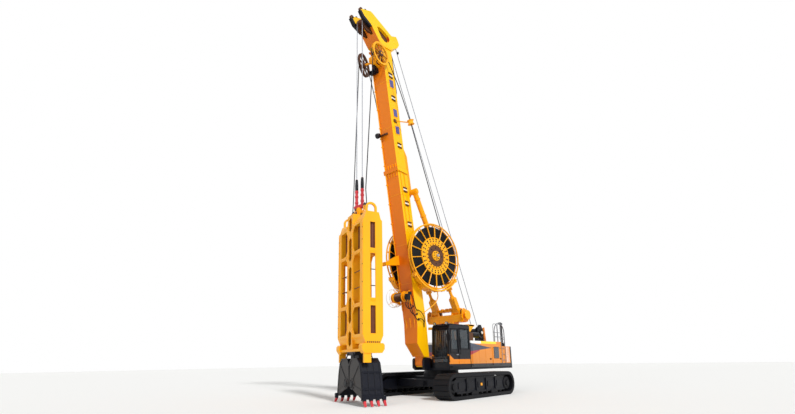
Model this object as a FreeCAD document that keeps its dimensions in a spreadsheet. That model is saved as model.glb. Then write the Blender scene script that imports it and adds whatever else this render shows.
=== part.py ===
import FreeCAD, Part
import math
import os
import re
import Sketcher

# A crawler-mounted diaphragm wall grab. Millimetres, +X forward, +Y to the machine's left, +Z up.
# The origin is where the slewing axis meets the ground.

SIZES = {
    # crawler
    "track_length": 5450, "track_height": 1070, "track_spread": 4750, "shoe_width": 800,
    "shoe_thick": 35, "shoe_gap": 24, "belt_thick": 150, "roller_radius": 110, "wheel_width": 340,
    "skirt_thick": 50, "carbody_half": 900, "ring_radius": 820, "ring_top": 1190, "running_gap": 0.3,
    # upper works
    "deck_bottom": 1190, "tail_x": -4450,
    "side_y": 1500, "house_front": -380, "house_floor": 1290, "house_top": 2300, "hood_top": 2520,
    "panel": 60, "door_gap": 6,
    # cab
    "cab_front": 1340, "cab_rear": -360, "cab_inner": 520, "cab_outer": 1480, "cab_floor": 1400,
    "cab_top": 3195, "cab_wall": 50, "door_front": 560,
    # mast
    "foot_x": 1520, "foot_z": 1480, "foot_pin": 90, "mast_front": 2180, "mast_base": 3240,
    "mast_slope": 0.155, "mast_depth": 660, "mast_half": 400, "joint_height": 10500, "head_base": 16830,
    "kink_z": 2380,
    # gantry and luffing cylinders
    "gantry_x": -660, "gantry_pin_z": 3980, "cylinder_y": 640, "luff_top_x": 2380, "luff_top_z": 9520,
    "barrel_radius": 125, "rod_radius": 75, "barrel_length": 5150, "eye_half": 180, "eye_radius": 150,
    # hose reels and guide wheels
    "reel_x": 1350, "reel_z": 6460, "reel_radius": 1590, "reel_y": 890, "reel_width": 170, "reel_toe": 7,
    "reel_hub": 350, "wheel_x": 4550, "wheel_z": 15970, "wheel_y": 580, "wheel_radius": 560,
    "wheel_yaw_left": 4, "wheel_yaw_right": 20,
    # head sheaves
    "sheave_x": 4960, "sheave_z": 17600, "sheave_radius": 420, "sheave_y": 180, "rear_sheave_x": 3320,
    "rear_sheave_z": 17540, "rear_sheave_radius": 230,
    # winches
    "winch_x": -2950, "winch_z": 3040, "winch_radius": 330, "winch_half": 380, "drum_x": 2700,
    "drum_z": 4470,
    # grab
    "grab_yaw": 18.5, "grab_half": 1320, "grab_depth": 840, "grab_low": 2280,
    "grab_shoulder": 7150, "grab_top": 7500, "leg_width": 300, "core_half": 290, "grab_skin": 36,
    "jaw_half": 430, "jaw_pin_y": 300,
    "jaw_pin_z": 780, "jaw_pin_radius": 70, "jaw_reach": 1250, "tooth_pitch": 269, "tooth_tip": 1370,
    "tip_z": 15,
    "rope_radius": 18, "socket_top": 9450, "swivel_radius": 62,
}

doc = FreeCAD.newDocument("wall_grab")
sheet = doc.addObject("Spreadsheet::Sheet", "sheet")
for row, (alias, value) in enumerate(SIZES.items(), start=1):
    sheet.set("A%d" % row, alias)
    sheet.set("B%d" % row, str(value))
    sheet.setAlias("B%d" % row, alias)
doc.recompute()

PARTS = {}
NORMAL = {"XY": 1, "XZ": -1, "YZ": 1}


def bound(text):
    """An expression in which every size's name reads its cell."""
    return re.sub(r"[a-z_]+",
                  lambda word: "sheet." + word.group() if word.group() in SIZES else word.group(),
                  str(text))


def body(name):
    """A sub-part: one PartDesign body whose label names its file."""
    made = doc.addObject("PartDesign::Body", name)
    PARTS[name] = made
    return made


def sketch_on(owner, plane, middle):
    """A sketch on one of the body's own origin planes, set off along that plane's world axis."""
    sketch = owner.newObject("Sketcher::SketchObject", "profile")
    base = [item for item in owner.Origin.OriginFeatures if item.Role == plane + "_Plane"][0]
    sketch.AttachmentSupport = (base, [""])
    sketch.MapMode = "FlatFace"
    sketch.setExpression("AttachmentOffset.Base.z", "%d * (%s)" % (NORMAL[plane], bound(middle)))
    return sketch


def pin_down(sketch, geometry, point, values, guess):
    """Ties one sketch point to the origin by two sizes."""
    for kind, value, start in zip(("DistanceX", "DistanceY"), values, guess):
        number = sketch.addConstraint(Sketcher.Constraint(kind, -1, 1, geometry, point, start))
        sketch.setExpression("Constraints[%d]" % number, bound(value))


def draw_loop(sketch, points):
    """A closed run of straight lines through the points, first laid out on a circle."""
    count = len(points)
    ring = [(1000 * math.cos(2 * math.pi * k / count), 1000 * math.sin(2 * math.pi * k / count))
            for k in range(count)]
    for k in range(count):
        start = FreeCAD.Vector(*ring[k], 0)
        end = FreeCAD.Vector(*ring[(k + 1) % count], 0)
        sketch.addGeometry(Part.LineSegment(start, end), False)
    for k in range(count):
        sketch.addConstraint(Sketcher.Constraint("Coincident", k, 2, (k + 1) % count, 1))
    for k, point in enumerate(points):
        pin_down(sketch, k, 1, point, ring[k])


def draw_circle(sketch, centre, radius):
    """A circle whose centre and radius are sizes."""
    sketch.addGeometry(Part.Circle(FreeCAD.Vector(1000, 1000, 0), FreeCAD.Vector(0, 0, 1), 100), False)
    pin_down(sketch, 0, 3, centre, (1000, 1000))
    number = sketch.addConstraint(Sketcher.Constraint("Radius", 0, 100))
    sketch.setExpression("Constraints[%d]" % number, bound(radius))


def feature(owner, kind, sketch, width):
    """A pad or pocket, half its width to each side of the sketch."""
    made = owner.newObject("PartDesign::" + kind, kind.lower())
    made.Profile = sketch
    made.SideType = "Symmetric"
    made.setExpression("Length", bound(width))
    sketch.Visibility = False
    return made


def plate(owner, plane, points, middle, width, kind="Pad"):
    """Adds, or cuts as a pocket, a prism with the given outline."""
    sketch = sketch_on(owner, plane, middle)
    draw_loop(sketch, points)
    return feature(owner, kind, sketch, width)


def disc(owner, plane, centre, radius, middle, width, kind="Pad"):
    """Adds, or cuts as a pocket, a round disc or shaft."""
    sketch = sketch_on(owner, plane, middle)
    draw_circle(sketch, centre, radius)
    return feature(owner, kind, sketch, width)


def ring(owner, plane, centre, outer, inner, middle, width):
    """Adds a flat ring."""
    sketch = sketch_on(owner, plane, middle)
    for number, radius in enumerate((outer, inner)):
        sketch.addGeometry(Part.Circle(FreeCAD.Vector(1000, 1000, 0), FreeCAD.Vector(0, 0, 1), 100 - number),
                           False)
        pin_down(sketch, number, 3, centre, (1000, 1000))
        constraint = sketch.addConstraint(Sketcher.Constraint("Radius", number, 100 - number))
        sketch.setExpression("Constraints[%d]" % constraint, bound(radius))
    return feature(owner, "Pad", sketch, width)


def block(owner, x_range, y_range, z_range, kind="Pad"):
    """Adds, or cuts, a rectangular block between the given faces."""
    corners = [(x_range[0], z_range[0]), (x_range[1], z_range[0]), (x_range[1], z_range[1]),
               (x_range[0], z_range[1])]
    middle = "((%s) + (%s)) / 2" % y_range
    width = "(%s) - (%s)" % (y_range[1], y_range[0])
    return plate(owner, "XZ", corners, middle, width, kind)


def around(owner, made, count, angle=360):
    """Repeats a feature about a plane's axis through the body's origin."""
    pattern = owner.newObject("PartDesign::PolarPattern", "pattern")
    pattern.Originals = [made]
    pattern.Axis = (owner.Origin.OriginFeatures[1], [""])
    pattern.Angle = angle
    pattern.Occurrences = count
    owner.Tip = pattern
    return pattern


def place(made, x, y, z, axis=(0, 0, 1), angle="0"):
    """Sets a finished body down by its own origin, turned about one axis."""
    made.Placement = FreeCAD.Placement(FreeCAD.Vector(), FreeCAD.Rotation(FreeCAD.Vector(*axis), 10))
    for letter, value in zip("xyz", (x, y, z)):
        made.setExpression("Placement.Base." + letter, bound(value))
    made.setExpression("Placement.Rotation.Angle", bound(angle))


def joined(name, pieces):
    """A sub-part of several separate pieces."""
    made = doc.addObject("Part::Compound", name)
    made.Links = pieces
    PARTS[name] = made
    return made


def piece(name):
    """A body that is one of the pieces of a joined sub-part."""
    return doc.addObject("PartDesign::Body", name)


# ---- crawler ---------------------------------------------------------------

TRACK_Y = "(track_spread - shoe_width) / 2"
LOOP_R = "track_height / 2"
WHEEL_R = "(track_height / 2 - belt_thick - running_gap)"
WHEEL_X = "(track_length / 2 - track_height / 2)"


def size(alias):
    return sheet.get(alias)


def track_belt(name, side):
    """One closed belt whose shoes stand out as flat plates with a gap between them."""
    outer = size("track_height") / 2
    straight = size("track_length") / 2 - outer
    length = 4 * straight + 2 * math.pi * outer
    count = 52
    pitch = length / count
    root = outer - size("shoe_thick")

    def at(distance, radius):
        distance = distance % length
        if distance < 2 * straight:
            return FreeCAD.Vector(straight - distance, 0, outer - radius)
        distance -= 2 * straight
        if distance < math.pi * outer:
            turn = distance / outer
            return FreeCAD.Vector(-straight - radius * math.sin(turn), 0, outer - radius * math.cos(turn))
        distance -= math.pi * outer
        if distance < 2 * straight:
            return FreeCAD.Vector(-straight + distance, 0, outer + radius)
        turn = (distance - 2 * straight) / outer
        return FreeCAD.Vector(straight + radius * math.sin(turn), 0, outer + radius * math.cos(turn))

    points = []
    for shoe in range(count):
        start = shoe * pitch + size("shoe_gap") / 2
        end = (shoe + 1) * pitch - size("shoe_gap") / 2
        points += [at(start, root), at(start, outer), at(end, outer), at(end, root)]
    rim = Part.Face(Part.makePolygon(points + points[:1]))
    inner_r = outer - size("belt_thick")
    left = FreeCAD.Vector(-straight, 0, outer)
    right = FreeCAD.Vector(straight, 0, outer)
    up = FreeCAD.Vector(0, 0, inner_r)
    out = FreeCAD.Vector(inner_r, 0, 0)
    edges = [Part.LineSegment(right - up, left - up).toShape(),
             Part.Arc(left - up, left - out, left + up).toShape(),
             Part.LineSegment(left + up, right + up).toShape(),
             Part.Arc(right + up, right + out, right - up).toShape()]
    middle = Part.Face(Part.Wire(edges))
    belt = rim.cut(middle).Faces[0].extrude(FreeCAD.Vector(0, size("shoe_width"), 0))
    made = doc.addObject("Part::Feature", name)
    made.Shape = belt
    centre = side * (size("track_spread") - size("shoe_width")) / 2
    made.Placement = FreeCAD.Placement(FreeCAD.Vector(0, centre - size("shoe_width") / 2, 0),
                                       FreeCAD.Rotation())
    PARTS[name] = made


def track_frame(name, side):
    """Two side plates joined by a box above the rollers, with the final drive at the rear."""
    made = body(name)
    middle = "%d * %s" % (side, TRACK_Y)
    skirt_y = "(wheel_width / 2 + 10 + skirt_thick / 2)"
    outline = [("-%s - 150" % WHEEL_X, 430), ("-%s + 300" % WHEEL_X, 290), ("%s - 300" % WHEEL_X, 290),
               ("%s + 150" % WHEEL_X, 430), ("%s + 150" % WHEEL_X, 640), ("%s - 350" % WHEEL_X, 890),
               ("-%s + 350" % WHEEL_X, 890), ("-%s - 150" % WHEEL_X, 640)]
    box = [("-%s + 480" % WHEEL_X, 430), ("%s - 480" % WHEEL_X, 430), ("%s - 480" % WHEEL_X, 740),
           ("-%s + 480" % WHEEL_X, 740)]
    plate(made, "XZ", box, middle, "wheel_width + 20")
    for edge in (1, -1):
        plate(made, "XZ", outline, "%s + %d * %s" % (middle, edge, skirt_y), "skirt_thick")
    inboard = "%s - %d * (wheel_width / 2 + 10 + skirt_thick + 70)" % (middle, side)
    disc(made, "XZ", ("-" + WHEEL_X, LOOP_R), 270, inboard, 140)


def track_wheels(name, side):
    """Idler, drive wheel, lower and upper rollers, each on its own shaft between the side plates."""
    middle = "%d * %s" % (side, TRACK_Y)
    wheels = []
    low_z = "belt_thick + running_gap + roller_radius"
    spots = [(name + "_idler", WHEEL_X, LOOP_R, WHEEL_R), (name + "_drive", "-" + WHEEL_X, LOOP_R, WHEEL_R)]
    for k in range(9):
        spots.append((name + "_lower%d" % k, "(%s - 520) * %s" % (WHEEL_X, (k - 4) / 4), low_z,
                      "roller_radius"))
    for k in (-1, 1):
        spots.append((name + "_upper%d" % (k + 1), 800 * k, "track_height - belt_thick - running_gap - 75",
                      75))
    for label, x, z, radius in spots:
        wheel = piece(label)
        disc(wheel, "XZ", (x, z), radius, middle, "wheel_width - 60")
        if radius == WHEEL_R:
            disc(wheel, "XZ", (x, z), "%s - 90" % radius, middle, "wheel_width - 120", "Pocket")
            disc(wheel, "XZ", (x, z), "%s - 80" % radius, middle, 60)
        disc(wheel, "XZ", (x, z), 45, middle, "wheel_width + 20 - 2 * running_gap")
        wheels.append(wheel)
    joined(name, wheels)


def carbody():
    """The centre box, its four legs out to the track frames and the pedestal under the slewing ring."""
    made = body("carbody")
    block(made, ("-carbody_half", "carbody_half"), ("-carbody_half", "carbody_half"), (430, 900))
    reach = "%s - wheel_width / 2 - 10 - skirt_thick" % TRACK_Y
    for end in (1, -1):
        block(made, ("%d * 1050 - 260" % end, "%d * 1050 + 260" % end), ("-(%s)" % reach, reach), (450, 780))
    disc(made, "XY", (0, 0), "ring_radius + 40", 960, 160)
    ring = body("slewing_ring")
    disc(ring, "XY", (0, 0), "ring_radius", "(1040 + ring_top - running_gap) / 2",
         "ring_top - running_gap - 1040")
    eyes = []
    for end, label in ((1, "front_eye"), (-1, "rear_eye")):
        eye = piece(label)
        face = "%d * 1310" % end
        plate(eye, "XZ", [(face, 500), ("%d * 1460" % end, 500), ("%d * 1460" % end, 700), (face, 700)], 0,
              60)
        disc(eye, "XZ", ("%d * 1400" % end, 600), 35, 0, 200, "Pocket")
        block(eye, ("%d * 1310 - 15" % end if end < 0 else face, face if end < 0 else "1310 + 15"),
              (-140, 140), (480, 720))
        eyes.append(eye)
    joined("towing_eyes", eyes)


for side, where in ((1, "left"), (-1, "right")):
    track_frame("track_frame_" + where, side)
    track_wheels("track_wheels_" + where, side)
    track_belt("track_" + where, side)
carbody()

# ---- upper works -----------------------------------------------------------

EAR_IN = "(mast_half - 165)"


def turntable():
    """Deck slab, the two long beams inside it and the ears that carry the mast's foot."""
    made = body("turntable")
    block(made, ("tail_x + 330", "house_front"), ("-side_y", "side_y"), ("deck_bottom", "house_floor"))
    # Ahead of the bodywork the slab carries the cab on the left and is cut back to the ear on the right.
    block(made, ("house_front - 20", "cab_front"), ("-%s - 120" % EAR_IN, "side_y"),
          ("deck_bottom", "house_floor"))
    for side in (1, -1):
        ear = [(1000, "deck_bottom"), (1560, "deck_bottom"), ("foot_x + 200", "deck_bottom + 110"),
               ("foot_x + 200", "foot_z + 180"), ("foot_x + 120", "foot_z + 260"),
               ("foot_x - 220", "foot_z + 260"), (1000, "foot_z + 120")]
        plate(made, "XZ", ear, "%d * (%s + 60)" % (side, EAR_IN), 120)
        beam = [("gantry_x - 370", "house_floor"), (1000, "house_floor"), (1000, "foot_z + 120"),
                ("gantry_x - 370", "foot_z + 120")]
        plate(made, "XZ", beam, "%d * (%s + 60)" % (side, EAR_IN), 120)
    disc(made, "XZ", ("foot_x", "foot_z"), "foot_pin", 0, "2 * %s + 240" % EAR_IN)


def engine_house():
    """The bodywork shell: high over the winches, lower at the tail, with two door openings a side."""
    made = body("engine_house")
    rear = "tail_x + 330"
    profile = [("house_front", "house_floor"), ("house_front", "hood_top"), (-3250, "hood_top"),
               (-3250, "house_top"), (rear, "house_top"), (rear, "house_floor")]
    plate(made, "XZ", profile, 0, "2 * side_y")
    inner = [("house_front - panel", "house_floor"), ("house_front - panel", "hood_top - panel"),
             ("-3250 + panel", "hood_top - panel"), ("-3250 + panel", "house_top - panel"),
             (rear + " + panel", "house_top - panel"), (rear + " + panel", "house_floor")]
    for side in (1, -1):
        plate(made, "XZ", inner, "%d * (side_y + 560) / 2" % side, "side_y - 560 - 2 * panel", "Pocket")
    low = [(-1100, "house_floor"), (-1100, "hood_top - panel"), ("-3250 + panel", "hood_top - panel"),
           ("-3250 + panel", "house_top - panel"), (rear + " + panel", "house_top - panel"),
           (rear + " + panel", "house_floor")]
    plate(made, "XZ", low, 0, "2 * (560 + panel + 20)", "Pocket")
    block(made, (-1040, "house_front + 1"), (-560, 560), ("house_floor - 1", "hood_top + 1"), "Pocket")
    for front, back in DOORS.values():
        for side in (1, -1):
            plate(made, "XZ", [(back, "house_floor + 50"), (front, "house_floor + 50"),
                               (front, "house_top - 60"), (back, "house_top - 60")],
                  "%d * (side_y - panel / 2)" % side, "panel + 4", "Pocket")


KNUCKLE = "sqrt((door_gap + 8) ^ 2 + 64) - running_gap"
DOORS = {"front": (-480, -2250), "rear": (-2330, -3190)}


def side_door(name, side, front, back):
    """A flush door in the side wall, hung on a knuckle at its front edge."""
    made = body(name)
    low = "house_floor + 50 + door_gap"
    high = "house_top - 60 - door_gap"
    plate(made, "XZ", [("%s + door_gap" % back, low), ("%s - door_gap" % front, low),
                       ("%s - door_gap" % front, high), ("%s + door_gap" % back, high)],
          "%d * (side_y - 20)" % side, 40)
    disc(made, "XY", ("%s - door_gap - 8" % front, "%d * (side_y + 8)" % side), KNUCKLE,
         "(%s + %s) / 2" % (low, high), "%s - (%s) - 12" % (high, low))


def tail():
    """Counterweight with rounded rear corners, and the engine as one block on the deck."""
    made = body("counterweight")
    round_x = "tail_x + 220"
    plate(made, "XY", [("tail_x + 330", "-side_y"), ("tail_x + 330", "side_y"), (round_x, "side_y"),
                       ("tail_x + 60", "side_y - 70"), ("tail_x", "side_y - 240"),
                       ("tail_x", "-side_y + 240"),
                       ("tail_x + 60", "-side_y + 70"), (round_x, "-side_y")],
          "(deck_bottom + house_top) / 2", "house_top - deck_bottom")
    engine = body("engine")
    block(engine, (-3700, -2300), (-450, 450), ("house_floor", 2120))
    stack = body("exhaust_stack")
    disc(stack, "XY", ("tail_x + 520", 1180), 120, "house_top + 90", 180)
    disc(stack, "XY", ("tail_x + 520", 1180), 62, "house_top + 700", 1080)
    disc(stack, "XY", ("tail_x + 520", 1180), 48, "house_top + 1190", 200, "Pocket")
    plate(stack, "XZ", [("tail_x + 470", "house_top + 1170"), ("tail_x + 590", "house_top + 1170"),
                        ("tail_x + 700", "house_top + 1260"), ("tail_x + 640", "house_top + 1290"),
                        ("tail_x + 470", "house_top + 1235")], 1180, 150)


def cab():
    """A hollow cab with its windows and doorway cut, panes in the windows and a seat inside."""
    made = body("cab_shell")
    nose = [("cab_rear", "house_floor"), ("cab_front", "house_floor"), ("cab_front", "cab_floor + 300"),
            ("cab_front - 60", "cab_top - 120"), ("cab_front - 160", "cab_top"), ("cab_rear", "cab_top")]
    middle = "(cab_inner + cab_outer) / 2"
    plate(made, "XZ", nose, middle, "cab_outer - cab_inner")
    room = [("cab_rear + cab_wall", "cab_floor"), ("cab_front - cab_wall", "cab_floor"),
            ("cab_front - cab_wall", "cab_floor + 300"), ("cab_front - cab_wall - 60", "cab_top - 130"),
            ("cab_front - cab_wall - 120", "cab_top - cab_wall"),
            ("cab_rear + cab_wall", "cab_top - cab_wall")]
    plate(made, "XZ", room, middle, "cab_outer - cab_inner - 2 * cab_wall", "Pocket")
    doorway = [("door_front", "cab_floor + 30"), ("cab_front - 80", "cab_floor + 30"),
               ("cab_front - 80", "cab_floor + 320"), ("cab_front - 140", "cab_top - 130"),
               ("door_front", "cab_top - 130")]
    plate(made, "XZ", doorway, "cab_outer - cab_wall / 2", "cab_wall + 2", "Pocket")
    rear_side = [("cab_rear + 90", "cab_floor + 720"), ("door_front - 90", "cab_floor + 720"),
                 ("door_front - 90", "cab_top - 150"), ("cab_rear + 90", "cab_top - 150")]
    plate(made, "XZ", rear_side, "cab_outer - cab_wall / 2", "cab_wall + 2", "Pocket")
    inner_side = [("cab_rear + 90", "cab_floor + 720"), ("cab_front - 200", "cab_floor + 720"),
                  ("cab_front - 240", "cab_top - 150"), ("cab_rear + 90", "cab_top - 150")]
    plate(made, "XZ", inner_side, "cab_inner + cab_wall / 2", "cab_wall + 2", "Pocket")
    wide = ("cab_inner + 90", "cab_outer - 90")
    block(made, ("cab_front - 130", "cab_front + 1"), wide, ("cab_floor + 120", "cab_top - 160"), "Pocket")
    block(made, ("cab_rear - 1", "cab_rear + cab_wall + 1"), wide, ("hood_top + 60", "cab_top - 200"),
          "Pocket")
    panes = []
    pane_rows = (("pane_side", rear_side, "cab_outer - cab_wall / 2"),
                 ("pane_inner", inner_side, "cab_inner + cab_wall / 2"))
    for label, outline, where in pane_rows:
        pane = piece(label)
        plate(pane, "XZ", outline, where, 10)
        panes.append(pane)
    screen = piece("pane_front")
    plate(screen, "XZ", [("cab_front - 36", "cab_floor + 120"), ("cab_front - 26", "cab_floor + 120"),
                         ("cab_front - 26", "cab_floor + 300"), ("cab_front - 84", "cab_top - 160"),
                         ("cab_front - 94", "cab_top - 160"), ("cab_front - 36", "cab_floor + 300")],
          middle, "cab_outer - cab_inner - 180")
    rear_pane = piece("pane_rear")
    block(rear_pane, ("cab_rear + 20", "cab_rear + 30"), wide, ("hood_top + 60", "cab_top - 200"))
    joined("cab_glass", panes + [screen, rear_pane])
    seat = body("cab_seat")
    block(seat, (80, 560), (760, 1240), ("cab_floor", "cab_floor + 300"))
    block(seat, (60, 620), (740, 1260), ("cab_floor + 300", "cab_floor + 440"))
    block(seat, (-60, 90), (760, 1240), ("cab_floor + 360", "cab_floor + 1120"))
    block(seat, (850, 1050), (900, 1100), ("cab_floor", "cab_floor + 780"))
    block(seat, (560, 900), (850, 1150), ("cab_floor", "cab_floor + 60"))


def cab_door():
    """A framed door with its own pane, hung on a knuckle at its rear edge."""
    made = body("cab_door")
    rim = [("door_front + door_gap", "cab_floor + 30 + door_gap"),
           ("cab_front - 80 - door_gap", "cab_floor + 30 + door_gap"),
           ("cab_front - 80 - door_gap", "cab_floor + 320"),
           ("cab_front - 140 - door_gap", "cab_top - 130 - door_gap"),
           ("door_front + door_gap", "cab_top - 130 - door_gap")]
    plate(made, "XZ", rim, "cab_outer - 25", 50)
    glass_line = [("door_front + 90", "cab_floor + 700"), ("cab_front - 200", "cab_floor + 700"),
                  ("cab_front - 225", "cab_top - 220"), ("door_front + 90", "cab_top - 220")]
    plate(made, "XZ", glass_line, "cab_outer - 25", 60, "Pocket")
    disc(made, "XY", ("door_front + door_gap + 8", "cab_outer + 8"), KNUCKLE,
         "(cab_floor + cab_top) / 2 - 50", "cab_top - cab_floor - 240")
    pane = body("door_glass")
    plate(pane, "XZ", glass_line, "cab_outer - 25", 10)


turntable()
engine_house()
for where, side in (("left", 1), ("right", -1)):
    for part, (front, back) in DOORS.items():
        side_door("%s_door_%s" % (part, where), side, front, back)
tail()
cab()
cab_door()

# ---- gantry, winch and rails -----------------------------------------------

def gantry():
    """Two posts off the deck, a crossbeam over the cab's rear and four ears for the cylinder eyes."""
    made = body("gantry")
    block(made, ("gantry_x - 200", "gantry_x + 200"), (-1050, 1050), (3450, 3830))
    for side in (1, -1):
        block(made, ("gantry_x - 240", "gantry_x + 240"),
              ("%d * (%s + 215) - 95" % (side, EAR_IN), "%d * (%s + 215) + 95" % (side, EAR_IN)),
              ("house_floor", 3460))
        for edge in (1, -1):
            centre = "%d * cylinder_y + %d * (eye_half + 40)" % (side, edge)
            ear = [("gantry_x - 190", 3800), ("gantry_x + 190", 3800),
                   ("gantry_x + 120", "gantry_pin_z + 110"),
                   ("gantry_x + 50", "gantry_pin_z + 170"), ("gantry_x - 50", "gantry_pin_z + 170"),
                   ("gantry_x - 120", "gantry_pin_z + 110")]
            plate(made, "XZ", ear, centre, 64)
        plate(made, "XZ", [("gantry_x - 260", 3480), ("gantry_x + 150", 3480), ("gantry_x + 260", 3640),
                           ("gantry_x + 230", 4010), ("gantry_x + 60", 4130), ("gantry_x - 160", 4060),
                           ("gantry_x - 270", 3800)], "%d * 1070" % side, 50)


def winch():
    """The rear hoist winch: two side frames on the hood, a tie bar and a flanged drum."""
    frame = body("winch_frame")
    for side in (1, -1):
        outline = [(-3230, "hood_top"), (-2480, "hood_top"), (-2560, 2900), ("winch_x + 20", 3470),
                   ("winch_x - 160", 3470), (-3420, 2900)]
        plate(frame, "XZ", outline, "%d * (winch_half + 40)" % side, 70)
    block(frame, (-3230, -2480), ("-winch_half - 40", "winch_half + 40"), ("hood_top", "hood_top + 50"))
    block(frame, (-2480, "gantry_x - 900"), (200, 360), (2920, 3060))
    block(frame, (-2590, -2470), (150, "winch_half + 40"), (2880, 3100))
    block(frame, ("gantry_x - 1340", "gantry_x - 900"), (100, 460), ("hood_top", 3160))
    disc(frame, "XZ", ("winch_x", "winch_z"), 60, 0, "2 * winch_half + 20")
    drum = body("winch_drum")
    disc(drum, "XZ", ("winch_x", "winch_z"), "winch_radius - 90", 0, "2 * winch_half - 20")
    for side in (1, -1):
        disc(drum, "XZ", ("winch_x", "winch_z"), "winch_radius", "%d * (winch_half - 25)" % side, 40)
    disc(drum, "XZ", ("winch_x", "winch_z"), "60 + running_gap", 0, "2 * winch_half + 20", "Pocket")
    rails = body("handrails")
    rail_y = "side_y - 90"
    ring(rails, "XZ", (-3290, 3000), 520, 484, rail_y, 36)
    block(rails, (-3830, -2750), ("%s - 30" % rail_y, "%s + 30" % rail_y), (2400, 3000), "Pocket")
    for post, foot in ((-3792, "house_top"), (-2788, "hood_top")):
        block(rails, ("%d - 18" % post, "%d + 18" % post), ("%s - 18" % rail_y, "%s + 18" % rail_y),
              (foot, 3010))
    block(rails, (-3810, -2770), ("%s - 18" % rail_y, "%s + 18" % rail_y), (2760, 2796))


# ---- mast ------------------------------------------------------------------

def front(height):
    """The mast's front line at a height."""
    return "(mast_front + mast_slope * (%s - mast_base))" % height


def rear(height):
    """The mast's rear line at a height."""
    return "(%s - mast_depth)" % front(height)


def mast():
    """A leaning box in two lengths bolted at a flange, narrowing to a tongue at the foot pin."""
    low = body("mast_lower")
    end = "joint_height"
    plate(low, "XZ",
          [("foot_x - 190", "foot_z + 310"), ("foot_x + 170", "foot_z + 310"), ("mast_front", "kink_z"),
           ("mast_front", "mast_base"), (front(end), end), (rear(end), end),
           (rear("mast_base"), "mast_base")],
          0, "2 * mast_half")
    for side in (1, -1):
        wedge = [("%d * (mast_half - 60)" % side, 1700), ("%d * (mast_half + 90)" % side, 1700),
                 ("%d * (mast_half + 90)" % side, 3100), ("%d * mast_half" % side, 3100)]
        plate(low, "YZ", wedge, "foot_x", 3000, "Pocket")
    block(low, ("foot_x - 150", "foot_x + 150"), ("-%s + 5" % EAR_IN, "%s - 5" % EAR_IN),
          ("foot_z", "foot_z + 320"))
    disc(low, "XZ", ("foot_x", "foot_z"), 150, 0, "2 * (%s - 5)" % EAR_IN)
    disc(low, "XZ", ("foot_x", "foot_z"), "foot_pin + running_gap", 0, "3 * mast_half", "Pocket")
    high = body("mast_upper")
    top = "head_base"
    plate(high, "XZ", [(front(end), end), (front(top), top), (rear(top), top), (rear(end), end)], 0,
          "2 * mast_half")
    for made, base, tip in ((low, "(joint_height - 90)", end), (high, end, "(joint_height + 90)")):
        plate(made, "XZ", [(front(base) + " + 60", base), (front(tip) + " + 60", tip), (rear(tip), tip),
                           (rear(base), base)], 0, "2 * (mast_half + 60)")
    bracket = body("luff_bracket")
    plate(bracket, "XZ", [(rear(9250), 9250), ("luff_top_x - 40", "luff_top_z - 190"),
                          ("luff_top_x - 150", "luff_top_z"), (rear(11400) + " - 250", 11400),
                          (rear(11900), 11900)],
          0, "2 * mast_half - 120")
    disc(bracket, "XZ", ("luff_top_x", "luff_top_z"), "70", 0, "2 * (cylinder_y + 150)")
    for side in (1, -1):
        disc(bracket, "XZ", ("luff_top_x", "luff_top_z"), 100, "%d * (cylinder_y + 145)" % side, 30)
        disc(bracket, "XZ", ("luff_top_x", "luff_top_z"), 110, "%d * (cylinder_y - 190)" % side, 100)


HEAD_LINE = [(5700, 17790), (5560, 17960), (5000, 18200), (4860, 18170), (3550, 17690), (3210, 17860),
             (3080, 17700), (2990, 17500), (3110, 17260), (3460, 16990), (rear("head_base"), "head_base"),
             (front("head_base"), "head_base"), (4420, 16860), (4940, 17430)]
AXLE = ("sheave_x", "sheave_z")
REAR_AXLE = ("rear_sheave_x", "rear_sheave_z")


def mast_head():
    """Two side plates with a web between them, slotted for the sheaves, with their axles."""
    made = body("mast_head")
    plate(made, "XZ", HEAD_LINE, 0, "2 * mast_half")
    for side in (1, -1):
        slot = "%d * sheave_y" % side
        disc(made, "XZ", AXLE, "sheave_radius + 50", slot, 150, "Pocket")
        plate(made, "XZ", [("sheave_x", "sheave_z + 700"), ("sheave_x + 900", "sheave_z + 700"),
                           ("sheave_x + 900", "sheave_z - 330"), ("sheave_x", "sheave_z - 330")], slot, 150,
              "Pocket")
        disc(made, "XZ", REAR_AXLE, "rear_sheave_radius + 40", slot, 150, "Pocket")
        plate(made, "XZ",
              [("rear_sheave_x - 800", "rear_sheave_z - 100"), ("rear_sheave_x", "rear_sheave_z - 100"),
               ("rear_sheave_x", "rear_sheave_z + 500"),
               ("rear_sheave_x - 800", "rear_sheave_z + 500")],
              slot, 150, "Pocket")
        tear = [(4590, 17600), (4450, 17370), (4280, 17160), (4070, 17060), (3890, 17090), (3740, 17240),
                (3700, 17380), (3790, 17520), (4100, 17640), (4400, 17680)]
        plate(made, "XZ", tear, "%d * (mast_half - 65)" % side, 140, "Pocket")
    block(made, ("sheave_x + 30", "sheave_x + 1200"), ("-sheave_y + 70", "sheave_y - 70"), (17300, 18400),
          "Pocket")
    disc(made, "XZ", AXLE, 60, 0, "2 * mast_half")
    disc(made, "XZ", REAR_AXLE, 50, 0, "2 * mast_half")
    for name, axle, shaft, radius in (("front_sheaves", AXLE, 60, "sheave_radius"),
                                      ("rear_sheaves", REAR_AXLE, 50, "rear_sheave_radius")):
        pair = []
        for side, label in ((1, "_left"), (-1, "_right")):
            wheel = piece(name + label)
            middle = "%d * sheave_y" % side
            disc(wheel, "XZ", axle, "%s - 40" % radius, middle, 60)
            for edge in (1, -1):
                disc(wheel, "XZ", axle, radius, "%s + %d * 35" % (middle, edge), 30)
            disc(wheel, "XZ", axle, 110, middle, 140)
            disc(wheel, "XZ", axle, "%d + running_gap" % shaft, middle, 200, "Pocket")
            pair.append(wheel)
        joined(name, pair)


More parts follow.
